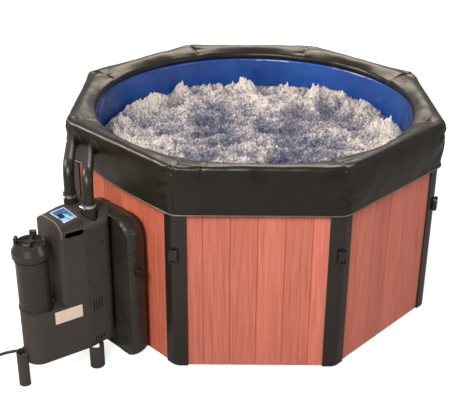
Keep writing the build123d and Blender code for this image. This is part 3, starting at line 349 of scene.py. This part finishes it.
def side_place(angle):
    """Which side an angle is on, and how far along it, from -1 to 1 at the corners."""
    turn = (angle + math.pi / 2 + HALF_SIDE) % (2 * math.pi)
    side = int(turn // (2 * HALF_SIDE))
    local = turn - side * 2 * HALF_SIDE - HALF_SIDE
    return side, math.tan(local) / math.tan(HALF_SIDE)


FRONT_SEAM = -0.65
HEM_HEIGHT = COLLAR_LOW.z + 0.004
HEM_CLEAR = 0.006
HEM_RISE, RISE_PLACE, RISE_WIDTH = 0.027, -0.70, 0.60


def hem_lift(side, u):
    """The skirt rides up where the pipes lean on it."""
    if side != PACK_SIDE:
        return 0.0
    return HEM_RISE * math.exp(-(((u - RISE_PLACE) / RISE_WIDTH) ** 2))


LIP_OVERHANG, LIP_CLEAR = 0.012, 0.003
SLOPE_INSET = 0.007
SLOPE_FALL, CREST_RISE = 0.0168, 0.0015
SLOPE_STEPS, BEND_STEPS, BAND_STEPS, BACK_STEPS = 17, 8, 24, 5
SHOULDER, SHOULDER_TUCK = 0.015, 0.0014
BACK_GAP, BACK_ROUND = 0.0085, 0.045
COVER_THICK = 0.003


def collar_profile(angle):
    """The cover's closed section at one angle, as distances from the centre and heights."""
    side, u = side_place(angle)
    puff = 1 - u**4
    outer = octagon_radius(angle, COLLAR_APOTHEM, CORNER_ROUND)
    inside = octagon_radius(angle, WALL_APOTHEM + BACK_GAP, BACK_ROUND)
    lip = LINER_RADIUS - LIP_OVERHANG
    top = COLLAR_HIGH.z
    rim = top - SLOPE_FALL
    hem = HEM_HEIGHT + hem_lift(side, u)
    under = LINER_HIGH.z + LIP_CLEAR
    points = [
        (lip + 0.012, under),
        (lip + 0.004, under + 0.001),
        (lip, under + 0.007),
        (lip + 0.0005, rim - 0.006),
    ]
    start, end = lip + SLOPE_INSET, outer - SHOULDER
    for step in range(SLOPE_STEPS + 1):
        s = step / SLOPE_STEPS
        crest = (top + CREST_RISE - rim) * math.sin(math.pi / 2 * min(1.0, s * 1.02))
        swell = 0.0020 * puff * math.sin(math.pi * s)
        points.append((start + (end - SHOULDER_TUCK - start) * s, rim + crest + swell))
    for step in range(1, BEND_STEPS + 1):
        bend = math.pi / 2 * step / BEND_STEPS
        reach = end - SHOULDER_TUCK + SHOULDER * math.sin(bend)
        points.append((reach, top + CREST_RISE - SHOULDER * (1 - math.cos(bend))))
    high = top + CREST_RISE - SHOULDER
    for step in range(1, BAND_STEPS + 1):
        s = step / BAND_STEPS
        belly = (0.0030 + 0.0055 * puff) * math.sin(math.pi * min(1.0, s * 0.92) ** 0.9)
        points.append((outer + (-SHOULDER_TUCK + belly - 0.0026 * s**2), high + (hem - high) * s))
    points += [
        (outer - 0.0040, hem - 0.0030),
        (outer - 0.0060, hem - 0.001),
        (inside + 0.0008, hem + HEM_CLEAR),
    ]
    ceiling = WALL_HIGH.z + 0.0015
    for step in range(1, BACK_STEPS + 1):
        climb = (ceiling - hem - HEM_CLEAR) * step / BACK_STEPS
        points.append((inside + 0.0005, hem + HEM_CLEAR + climb))
    back = LINER_RADIUS + COVER_THICK
    points += [((inside + LINER_RADIUS) / 2, ceiling), (back, ceiling)]
    points += [(back, (ceiling + under) / 2), (LINER_RADIUS + 0.002, under - 0.001)]
    return side, u, points


FIRST_SEEN, LAST_HIDDEN = 3, 14  # the points of the section that may crease
DEEPEST_CREASE = -0.0032


def bell(distance, width):
    return math.exp(-((distance / width) ** 2))


def wrinkle(side, u, path, place):
    """Soft folds: broad dents, fan-shaped puckers at the corner seams, and the seams' own grooves."""
    along = u * SIDE_HALF
    corner = SIDE_HALF - abs(along)
    broad = 0.0026 * noise.noise(place * 7.0) + 0.0018 * noise.noise(place * 17.0)
    fan = noise.noise(Vector((side * 7.3 + math.copysign(3.0, u), path * 46.0, corner * 9.0)))
    pucker = 0.0050 * fan * bell(corner, 0.055)
    groove = -0.0050 * bell(corner, 0.0040)
    if side == 0:
        seam = along - FRONT_SEAM * SIDE_HALF
        groove += -0.0020 * bell(seam, 0.0025)
        pucker += 0.0018 * bell(seam, 0.025) * noise.noise(Vector((path * 60.0, seam * 12.0, 4.0)))
    return max(DEEPEST_CREASE, broad + pucker + groove)


def collar_cover():
    """The padded cover, creased outwards and inwards along its section."""
    bm = bmesh.new()
    rings = []
    for angle in COLUMN_ANGLES:
        side, u, points = collar_profile(angle)
        ring, path = [], 0.0
        count = len(points)
        for i, (radius, height) in enumerate(points):
            before, after = points[i - 1], points[(i + 1) % count]
            if i:
                path += math.hypot(radius - before[0], height - before[1])
            if FIRST_SEEN <= i <= count - LAST_HIDDEN:
                run = Vector((after[0] - before[0], after[1] - before[1])).normalized()
                push = wrinkle(side, u, path, Vector(turned(radius, angle, height)))
                radius += -run.y * push
                height += run.x * push
            ring.append(turned(radius, angle, height))
        rings.append(ring)
    loop_grid(bm, rings)
    piece = add_piece("collar_padded_cover", bm, COLLAR_VINYL)
    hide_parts("collar_cover")
    return piece


WELT_RADIUS, WELT_STEPS = 0.0026, 10


def collar_piping():
    """The welt sewn along the skirt's lower edge, coloured light tan as a painted highlight along the hem.
    """
    bm = bmesh.new()
    rings = []
    for angle in COLUMN_ANGLES:
        side, u = side_place(angle)
        radius = octagon_radius(angle, COLLAR_APOTHEM, CORNER_ROUND) - 0.0018
        height = HEM_HEIGHT + hem_lift(side, u) - 0.0004
        ring = []
        for step in range(WELT_STEPS):
            turn = 2 * math.pi * step / WELT_STEPS
            reach = radius + WELT_RADIUS * math.cos(turn)
            ring.append(turned(reach, angle, height + WELT_RADIUS * math.sin(turn)))
        rings.append(ring)
    loop_grid(bm, rings)
    return add_piece("collar_piping", bm, PIPING_PAINTED_HIGHLIGHT)


# ---- the liner ----
LINER_COLUMNS, LINER_ROWS, FLOOR_RINGS = 480, 56, 18
LINER_SKIN, LINER_FACE = 0.0028, 0.0045
HAIRLINE = 0.0002


def liner_fold(angle, height):
    """How far the liner's long soft folds stand off the wall."""
    ring = Vector((math.cos(angle), math.sin(angle), height * 0.8))
    deep = noise.noise(ring * 5.5) * 0.0035 + noise.noise(ring * 13.0 + Vector((3, 1, 7))) * 0.0018
    slant = noise.noise(Vector((angle * 9 + height * 14, height * 5, 2.0)))
    return deep + 0.0022 * max(0.0, slant) ** 2 * 4


def liner():
    """Pool vinyl hanging inside the wall and lying on the floor, flat only where it meets the floor."""
    bm = bmesh.new()
    angles = [2 * math.pi * column / LINER_COLUMNS for column in range(LINER_COLUMNS)]
    floor = LINER_LOW.z + LINER_SKIN
    inner_rings = []
    for row in range(LINER_ROWS + 1):
        height = floor + (LINER_HIGH.z - floor) * row / LINER_ROWS
        ring = []
        for angle in angles:
            radius = LINER_RADIUS - LINER_FACE - abs(liner_fold(angle, height)) * smooth_step(row / 6)
            ring.append(turned(radius, angle, height))
        inner_rings.append(ring)
    floor_rings = []
    for step in range(1, FLOOR_RINGS):
        radius = (LINER_RADIUS - LINER_FACE) * (1 - step / FLOOR_RINGS)
        ring = []
        for angle in angles:
            x, y, height = turned(radius, angle, floor)
            ring.append((x, y, height + 0.0006 * noise.noise(Vector((x, y, 0)) * 18)))
        floor_rings.append(ring)
    foot = LINER_LOW.z + HAIRLINE
    outer = [[turned(LINER_RADIUS - HAIRLINE, angle, z) for angle in angles] for z in (LINER_HIGH.z, foot)]
    rows = loop_grid(bm, floor_rings[::-1] + inner_rings + outer, closed_rings=False)
    close_ring(bm, rows[0], (0, 0, floor))
    close_ring(bm, rows[-1], (0, 0, foot))
    piece = add_piece("pool_liner", bm, LINER_VINYL)
    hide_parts("liner")
    return piece


# ---- the foaming water ----
WATER_RADIUS = LINER_RADIUS - 0.012
WATER_FOOT = RING_HIGH.z + 0.004
CURTAIN_RADIUS, CURTAIN_WIDTH = 0.480, 0.060
WATER_RINGS, WATER_COLUMNS = 190, 840


def water_height(x, y):
    """A boiling surface: jets rise in a ring above the air ring, and crests wander over the middle."""
    place = Vector((x, y, 0))
    reach = place.length
    angle = math.atan2(y, x)
    ring_place = Vector((math.cos(angle), math.sin(angle), reach * 2.0))
    jets = 0.5 + 0.5 * noise.noise(ring_place * 6.5)
    strands = noise.ridged_multi_fractal(place * 24.0, 0.8, 2.1, 4.0, 0.9, 2.0)
    spikes = abs(noise.noise(place * 85.0)) - 0.15
    curtain = bell(reach - CURTAIN_RADIUS, CURTAIN_WIDTH)
    swell = 0.034 * noise.noise(place * 4.2 + Vector((5, 2, 1)))
    crests = noise.ridged_multi_fractal(place * 8.0 + Vector((2, 9, 4)), 0.9, 2.0, 5.0, 0.95, 2.0)
    lift = swell + 0.024 * (crests - 1.0)
    lift += curtain * (0.008 + 0.075 * jets**3 + 0.018 * (strands - 1.0) * (0.4 + jets))
    lift += (0.012 + 0.016 * curtain) * spikes
    return lift * smooth_step((WATER_RADIUS - reach) / 0.015)


def water():
    """The water's body: a fine disc for the surface, a plain wall and floor below it."""
    bm = bmesh.new()
    rings = []
    for step in range(1, WATER_RINGS + 1):
        radius = WATER_RADIUS * (step / WATER_RINGS) ** 0.85
        ring = []
        for column in range(WATER_COLUMNS):
            angle = 2 * math.pi * (column + 0.5 * (step % 2)) / WATER_COLUMNS
            x, y, level = turned(radius, angle, WATER_LEVEL)
            ring.append((x, y, level + water_height(x, y)))
        rings.append(ring)
    for depth in (WATER_LEVEL - 0.05, WATER_FOOT):
        rings.append([(x, y, depth) for x, y, z in rings[-1]])
    rows = loop_grid(bm, rings, closed_rings=False)
    close_ring(bm, rows[0], (0, 0, WATER_LEVEL + water_height(0, 0)))
    close_ring(bm, rows[-1], (0, 0, WATER_FOOT))
    return add_piece("foaming_water", bm, foam())


# ---- the power cord ----
CORD_DIAMETER = 0.010
COIL_TURNS = (
    (0.066, 0.0055),
    (0.057, 0.0055),
    (0.048, 0.0055),
    (0.052, 0.0140),
    (0.062, 0.0140),
    (0.066, 0.0225),
    (0.057, 0.0225),
    (0.055, 0.0225),
)  # each turn's radius and height, wound in three layers
COIL_COUNT, STEPS_PER_TURN = 7.25, 16
CROSSOVER = 0.55  # the share of a turn after which the cord moves over to the next one


def cord_points():
    """The lead from the gland to the floor, the neat coil, and the tail to the plug."""
    gland_low, gland_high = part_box("cord_gland")
    start = Vector((gland_low.x, (gland_low.y + gland_high.y) / 2, (gland_low.z + gland_high.z) / 2))
    coil_low, coil_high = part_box("cord_coil")
    heart = (coil_low + coil_high) / 2
    points = [
        start,
        start + Vector((-0.042, 0, -0.008)),
        start + Vector((-0.084, 0.003, -0.030)),
        start + Vector((-0.118, 0.009, -0.060)),
        start + Vector((-0.158, 0.016, -0.084)),
    ]
    entry = heart + Vector((0.043, -COIL_TURNS[0][0], 0)) - Vector((0, 0, heart.z - COIL_TURNS[0][1]))
    points.append(entry + Vector((0.030, -0.001, 0.0005)))
    for step in range(int(COIL_COUNT * STEPS_PER_TURN) + 1):
        turn, part = divmod(step, STEPS_PER_TURN)
        share = smooth_step((part / STEPS_PER_TURN - CROSSOVER) / (1 - CROSSOVER))
        here, there = COIL_TURNS[turn], COIL_TURNS[min(turn + 1, len(COIL_TURNS) - 1)]
        radius = here[0] + (there[0] - here[0]) * share
        height = here[1] + (there[1] - here[1]) * share
        x, y, z = turned(radius, -math.pi / 2 - 2 * math.pi * step / STEPS_PER_TURN, height)
        points.append(Vector((heart.x + x, heart.y + y, z)))
    plug_low, plug_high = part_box("plug_body")
    plug_x = (plug_low.x + plug_high.x) / 2
    points.append(Vector((plug_x, heart.y + 0.046, 0.0190)))
    points.append(Vector((plug_x, plug_low.y - 0.022, 0.0146)))
    points.append(Vector((plug_x, plug_low.y + 0.004, 0.0140)))
    return points


def power_cord():
    curve = bpy.data.curves.new("mains_cord", "CURVE")
    curve.dimensions = "3D"
    curve.bevel_depth = CORD_DIAMETER / 2
    curve.bevel_resolution = 4
    curve.use_fill_caps = True
    spline = curve.splines.new("NURBS")
    route = cord_points()
    spline.points.add(len(route) - 1)
    for control, point in zip(spline.points, route):
        control.co = (*point, 1)
    spline.order_u = 3
    spline.use_endpoint_u = True
    spline.resolution_u = 6
    piece = bpy.data.objects.new("mains_cord", curve)
    bpy.context.scene.collection.objects.link(piece)
    curve.materials.append(rubber("cord_rubber", (0.018, 0.018, 0.018), 0.5))
    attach(piece, ROOT)
    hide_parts("power_cord", "cord_coil")
    return piece


# ---- the air cushion ----
CUSHION_COLUMNS, CUSHION_STEPS, ARC_STEPS = 420, 30, 24
HEAD_ROUND, FOOT_ROUND = 0.070, 0.030
SEAM_BACK, SEAM_IN = 0.011, 0.0065
CROWN, CROWN_POWER = 0.0105, 3.5
OFF_FLOOR = 0.0008


def cushion_outline(half_t, half_z, head, foot, count):
    """Even steps round the cushion's outline, with wide corners at its head and small ones at its foot."""
    path = []
    corners = (
        (half_t - foot, -half_z + foot, foot, -90),
        (half_t - head, half_z - head, head, 0),
        (-half_t + head, half_z - head, head, 90),
        (-half_t + foot, -half_z + foot, foot, 180),
    )
    for t, z, radius, start in corners:
        for step in range(ARC_STEPS + 1):
            turn = math.radians(start + 90 * step / ARC_STEPS)
            path.append(Vector((t + radius * math.cos(turn), z + radius * math.sin(turn), 0)))
    path.append(path[0])
    lengths = [0.0]
    for a, b in zip(path, path[1:]):
        lengths.append(lengths[-1] + (b - a).length)
    places, k = [], 0
    for i in range(count):
        want = lengths[-1] * i / count
        while lengths[k + 1] < want:
            k += 1
        share = (want - lengths[k]) / max(1e-9, lengths[k + 1] - lengths[k])
        places.append(path[k].lerp(path[k + 1], share))
    return places


def cushion_stations(seam_depth):
    """Rings from one face's middle, over the gusset, to the other's: how far out from the middle, how
    deep, how near a seam, and how much a gusset ring bulges (-1 on a face)."""
    crowns = []
    for step in range(1, CUSHION_STEPS + 1):
        reach = step / CUSHION_STEPS
        crowns.append((reach, seam_depth + CROWN * (1 - reach**CROWN_POWER), 1 - reach, -1.0))
    gusset = []
    for step in range(1, CUSHION_STEPS):
        depth = 1 - 2 * step / CUSHION_STEPS
        gusset.append((1.0, seam_depth * depth, 1 - abs(depth), 1 - depth**2))
    return crowns + gusset + [(reach, -depth, away, bulge) for reach, depth, away, bulge in crowns[::-1]]


def air_cushion():
    """An inflated bag: two crowned faces and a bulging gusset, puckered along both welded seams."""
    corners = [Vector(v.co) for v in NODES["air_cushion"].data.vertices]
    ns = [p.dot(OUT) for p in corners]
    ts = [p.dot(ALONG) for p in corners]
    middle_n, half_n = (min(ns) + max(ns)) / 2, (max(ns) - min(ns)) / 2
    middle_t, half_t = (min(ts) + max(ts)) / 2, (max(ts) - min(ts)) / 2
    half_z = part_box("air_cushion")[1].z / 2
    outline = cushion_outline(half_t, half_z, HEAD_ROUND, FOOT_ROUND, CUSHION_COLUMNS)
    seam_depth = half_n - SEAM_BACK
    bm = bmesh.new()
    rings = []
    for reach, depth, away, bulge in cushion_stations(seam_depth):
        ring = []
        face = bulge < 0
        distance = away * (0.25 if face else seam_depth)
        for i, edge in enumerate(outline):
            before, after = outline[i - 1], outline[(i + 1) % CUSHION_COLUMNS]
            run = (after - before).normalized()
            outward = Vector((run.y, -run.x, 0))
            wheel = Vector(turned(16, 2 * math.pi * i / CUSHION_COLUMNS, 0))
            head = smooth_step((edge.y / half_z - 0.25) / 0.5)
            gather = noise.noise(wheel * 1.9 + Vector((0, 0, depth * 6))) + 0.5 * noise.noise(wheel * 4.3)
            gather *= (0.0016 + 0.0024 * head) * bell(distance, 0.026)
            groove = -0.0030 * bell(distance, 0.0030)
            place = Vector((edge.x * reach, edge.y * reach, depth))
            broad = 0.0028 * noise.noise(place * 12.0) + 0.0012 * noise.noise(place * 31.0)
            spot = edge * reach - outward * (SEAM_IN if face else SEAM_IN * (1 - bulge)) * reach
            push = gather + groove + broad
            n = depth
            if face:
                n += math.copysign(push, depth)
            else:
                spot += outward * push
            height = max(OFF_FLOOR, half_z + spot.y)
            ring.append(at(middle_n + max(-half_n, min(half_n, n)), middle_t + spot.x, height))
        rings.append(ring)
    rows = loop_grid(bm, rings, closed_rings=False)
    for ring in (rows[0], rows[-1]):
        close_ring(bm, ring, sum((v.co for v in ring), Vector()) / len(ring))
    piece = add_piece("inflated_cushion", bm, CUSHION_VINYL)
    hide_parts("air_cushion")
    return piece


# ---- a painted highlight line round the console's far end ----
HIGHLIGHT_LINE_RADIUS, HIGHLIGHT_LINE_SETBACK, HIGHLIGHT_LINE_STEPS = 0.0012, 0.009, 60


def console_painted_highlight():
    """A thin pale line, a painted highlight, that follows the console's arch, found by casting rays at it
    from outside.
    """
    console = NODES["pack_console"]
    mesh = console.data
    places = [console.matrix_world @ v.co for v in mesh.vertices]
    skin = BVHTree.FromPolygons(places, [tuple(face.vertices) for face in mesh.polygons])
    far = max(place.dot(OUT) for place in places)
    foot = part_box("pack_console")[0].z + 0.004
    bm = bmesh.new()
    rings = []
    for step in range(HIGHLIGHT_LINE_STEPS + 1):
        turn = math.pi * step / HIGHLIGHT_LINE_STEPS
        sweep = ALONG * math.cos(turn) + Vector((0, 0, math.sin(turn)))
        hit = skin.ray_cast(at(far - HIGHLIGHT_LINE_SETBACK, 0, foot) + sweep * 0.2, -sweep)[0]
        ring = []
        for corner in range(8):
            spin = 2 * math.pi * corner / 8
            ring.append(hit + (sweep * math.cos(spin) + OUT * math.sin(spin)) * HIGHLIGHT_LINE_RADIUS)
        rings.append(ring)
    rows = loop_grid(bm, rings, closed_rings=False)
    bm.faces.new(rows[0])
    bm.faces.new(rows[-1])
    # a pale colour that paints the highlight on the arch's edge
    plastic = moulded("painted_highlight_plastic", (0.20, 0.175, 0.15), 0.32)
    return add_piece("console_painted_highlight", bm, plastic)


# ---- finishes for the CAD nodes ----
FACE_HALF_LONG, FACE_HALF_WIDE = 0.0255, 0.0360


def paint_node(node, material):
    mesh = NODES[node].data
    mesh.materials.clear()
    mesh.materials.append(material)


def control_panel_face():
    """A printed faceplate: a pale border and a blue field with a lighter sweep, no lettering."""
    low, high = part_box("control_panel")
    centre = (low + high) / 2
    paint = Paint("faceplate_print", Roughness=0.3, Coat_Weight=0.4, Coat_Roughness=0.15)
    along = paint.math("SUBTRACT", paint.axis(OUT), centre.dot(OUT))
    across = paint.math("SUBTRACT", paint.axis(ALONG), centre.dot(ALONG))
    edge = paint.math(
        "MAXIMUM",
        paint.math("DIVIDE", paint.math("ABSOLUTE", along), FACE_HALF_LONG),
        paint.math("DIVIDE", paint.math("ABSOLUTE", across), FACE_HALF_WIDE),
    )
    sweep_from = tuple(centre + OUT * 0.02 + ALONG * 0.03)
    sweep = paint.vector("LENGTH", paint.vector("SUBTRACT", paint.place, sweep_from), output=1)
    field = paint.ramp(
        paint.math("DIVIDE", sweep, 0.07),
        (0.15, (0.30, 0.50, 0.78)),
        (0.38, (0.10, 0.28, 0.62)),
        (0.40, (0.45, 0.62, 0.85)),
        (0.62, (0.07, 0.20, 0.50)),
        (0.64, (0.02, 0.10, 0.30)),
    )
    framed = paint.mix(paint.ramp(edge, (0.90, 0.0), (0.91, 1.0)), field, (0.72, 0.78, 0.84))
    paint.colour(framed)
    return paint.bump(paint.noise(800.0, 2.0), 0.00008, 0.3).material


def filter_pleats():
    paint = Paint("filter_pleats", Roughness=0.85)
    fibres = paint.noise(500.0, 4.0, 0.7)
    colour_shift = paint.noise(18.0, 4.0, 0.6)
    clean, stained = (0.80, 0.80, 0.76), (0.58, 0.60, 0.55)
    paint.colour(paint.mix(paint.ramp(colour_shift, (0.4, 0.0), (0.8, 0.6)), clean, stained))
    return paint.bump(fibres, 0.0003, 0.6).material


def label_print():
    paint = Paint("label_print", Roughness=0.42)
    fade = paint.noise(60.0, 4.0, 0.6)
    fresh, faded = (0.74, 0.60, 0.49), (0.62, 0.50, 0.40)
    paint.colour(paint.mix(paint.ramp(fade, (0.35, 0.0), (0.75, 1.0)), fresh, faded))
    return paint.bump(paint.noise(900.0, 1.0), 0.00005, 0.3).material


def board():
    paint = Paint("circuit_board", Roughness=0.4)
    tracks = paint.cells(220.0, "DISTANCE_TO_EDGE")
    mask, copper = (0.012, 0.09, 0.035), (0.05, 0.22, 0.09)
    paint.colour(paint.mix(paint.ramp(tracks, (0.03, 1.0), (0.06, 0.0)), mask, copper))
    return paint.bump(tracks, 0.0002, 0.4).material


COLLAR_VINYL = vinyl("collar_vinyl", (0.0075, 0.0054, 0.0036), (0.0165, 0.0125, 0.0085), 0.32, shine=0.36)
CUSHION_VINYL = vinyl("cushion_vinyl", (0.017, 0.0145, 0.012), (0.028, 0.024, 0.020), 0.30)
# the piping's light tan colour is a painted highlight along the hem's edge
PIPING_PAINTED_HIGHLIGHT = vinyl("piping_painted_highlight", (0.085, 0.070, 0.055), (0.140, 0.118, 0.095), 0.28)
LINER_VINYL = liner_blue()
PACK_PLASTIC = moulded("pack_plastic", (0.034, 0.0285, 0.0250), 0.46)
LID_PLASTIC = moulded("lid_plastic", (0.020, 0.0165, 0.0145), 0.26, 500.0, 0.0001)
PIPE_PLASTIC = moulded("pipe_plastic", (0.0125, 0.0115, 0.0105), 0.40, 400.0, 0.0001)
POST_PLASTIC = moulded("post_plastic", (0.0160, 0.0118, 0.0100), 0.22, 600.0, 0.00010)
WHITE_PLASTIC = moulded("white_plastic", (0.62, 0.62, 0.58), 0.42)
RUBBER = rubber("black_rubber", (0.014, 0.014, 0.014))
STEEL = metal("clamp_steel", (0.62, 0.61, 0.58))
FINISHES = {
    PACK_PLASTIC: ["pack_base", "pack_housing", "pack_console", "pack_legs"],
    LID_PLASTIC: ["filter_lid", "filter_canister", "plug_body"],
    PIPE_PLASTIC: ["air_pipe", "water_pipe", "suction_strainer", "blower_body", "cord_gland"],
    POST_PLASTIC: ["cover_buckles", "inflation_valves", "collar_valve_cap", "cushion_valve_cap"],
    WHITE_PLASTIC: ["air_ring", "pump_impeller", "blower_fan"],
    RUBBER: ["pipe_couplers", "pipe_flanges", "lid_seal"],
    STEEL: ["hose_clamps", "heater_tube"],
    metal("screw_black", (0.08, 0.08, 0.08), 0.4): ["case_screws"],
    metal("pin_brass", (0.72, 0.55, 0.26), 0.22): ["plug_pins"],
    moulded("motor_paint", (0.05, 0.055, 0.06), 0.4): ["pump_body"],
    moulded("key_print", (0.02, 0.20, 0.30), 0.28): ["key_1", "key_2", "key_3"],
    moulded("display_window", (0.008, 0.006, 0.020), 0.12, 300.0, 0.00003, 0.05): ["display_lens"],
    moulded("button_red", (0.42, 0.02, 0.015), 0.3): ["plug_reset_button"],
    moulded("button_black", (0.03, 0.03, 0.03), 0.3): ["plug_test_button"],
    rubber("pad_foam", (0.16, 0.17, 0.18), 0.8): ["ground_pad"],
    vinyl("bladder_film", (0.30, 0.31, 0.32), (0.42, 0.42, 0.42), 0.3): ["collar_bladder"],
    control_panel_face(): ["control_panel"],
    filter_pleats(): ["filter_cartridge"],
    label_print(): ["rating_plate"],
    board(): ["control_board"],
}
for finish, names in FINISHES.items():
    for name in names:
        paint_node(name, finish)
for number in range(SIDES):
    paint_node(f"wall_panel_{number + 1}", redwood(number))
    paint_node(f"corner_post_{number + 1}", POST_PLASTIC)

collar_cover()
collar_piping()
liner()
water()
air_cushion()
console_painted_highlight()
power_cord()


# ---- floor, light and camera ----
ROOM_LIGHT, FLOOR_GLOW = 0.40, 0.80
FLOOR_HALF = 12.0
LAMP_AIM = Vector((-0.1, 0, 0.35))
WARM, AMBER = (1.0, 0.945, 0.88), (1.0, 0.86, 0.70)
LAMPS = [
    ("key", (-1.3, -3.6, 3.3), 1.6, 196.0, WARM),
    ("left", (-3.4, 0.4, 2.8), 1.4, 122.0, AMBER),
    ("back", (0.2, 3.0, 3.0), 1.6, 62.0, AMBER),
    ("right", (3.2, -1.8, 1.9), 1.4, 22.0, WARM),
]  # name, place, size, power and tint


def studio():
    """A pale paper floor, an even room that shows white to the camera, and four soft lamps."""
    bm = bmesh.new()
    corners = ((-1, -1), (1, -1), (1, 1), (-1, 1))
    bm.faces.new([bm.verts.new((x * FLOOR_HALF, y * FLOOR_HALF, 0)) for x, y in corners])
    mesh = bpy.data.meshes.new("studio_floor")
    bm.to_mesh(mesh)
    bm.free()
    floor = bpy.data.objects.new("studio_floor", mesh)
    bpy.context.scene.collection.objects.link(floor)
    paint = Paint("floor_paper", Roughness=0.9, Specular_IOR_Level=0.0)
    paint.colour((0.40, 0.40, 0.40))
    paint.feed(paint.shader.inputs["Emission Color"], (1.0, 1.0, 1.0))
    seen = paint.new("ShaderNodeLightPath").outputs["Is Camera Ray"]
    paint.feed(paint.shader.inputs["Emission Strength"], paint.math("MULTIPLY", seen, FLOOR_GLOW))
    mesh.materials.append(paint.material)
    world = bpy.data.worlds.new("studio")
    world.use_nodes = True
    links, backdrop = world.node_tree.links, world.node_tree.nodes["Background"]
    rays = world.node_tree.nodes.new("ShaderNodeLightPath")
    strength = world.node_tree.nodes.new("ShaderNodeMapRange")
    strength.inputs["To Min"].default_value = ROOM_LIGHT
    strength.inputs["To Max"].default_value = 1.0
    links.new(rays.outputs["Is Camera Ray"], strength.inputs["Value"])
    links.new(strength.outputs["Result"], backdrop.inputs[1])
    backdrop.inputs[0].default_value = (1, 1, 1, 1)
    bpy.context.scene.world = world
    for name, place, size, watts, tint in LAMPS:
        lamp = bpy.data.lights.new(name, "AREA")
        lamp.size = size
        lamp.energy = watts
        lamp.color = tint
        lamp_object = bpy.data.objects.new(name, lamp)
        lamp_object.location = place
        aim = LAMP_AIM - Vector(place)
        lamp_object.rotation_euler = aim.to_track_quat("-Z", "Y").to_euler()
        bpy.context.scene.collection.objects.link(lamp_object)


def camera():
    """The view from the front, a little above the rim."""
    view = bpy.data.cameras.new("camera")
    view.sensor_width = 36.0
    view.lens = 67.96
    view.shift_x = 0.0078
    view.shift_y = -0.12
    azimuth, elevation, distance, roll = 0.0039, 0.407, 3.1299, 0.0045
    target = Vector((-0.1147, 0, 0.510))
    away = Vector(
        (
            math.sin(azimuth) * math.cos(elevation),
            -math.cos(azimuth) * math.cos(elevation),
            math.sin(elevation),
        )
    )
    eye = bpy.data.objects.new("camera", view)
    turn = (-away).to_track_quat("-Z", "Y").to_matrix().to_4x4()
    eye.matrix_world = Matrix.Translation(target + away * distance) @ turn @ Matrix.Rotation(roll, 4, "Z")
    bpy.context.scene.collection.objects.link(eye)
    bpy.context.scene.camera = eye


studio()
camera()
bpy.context.scene.view_settings.view_transform = "Standard"
bpy.context.view_layer.update()
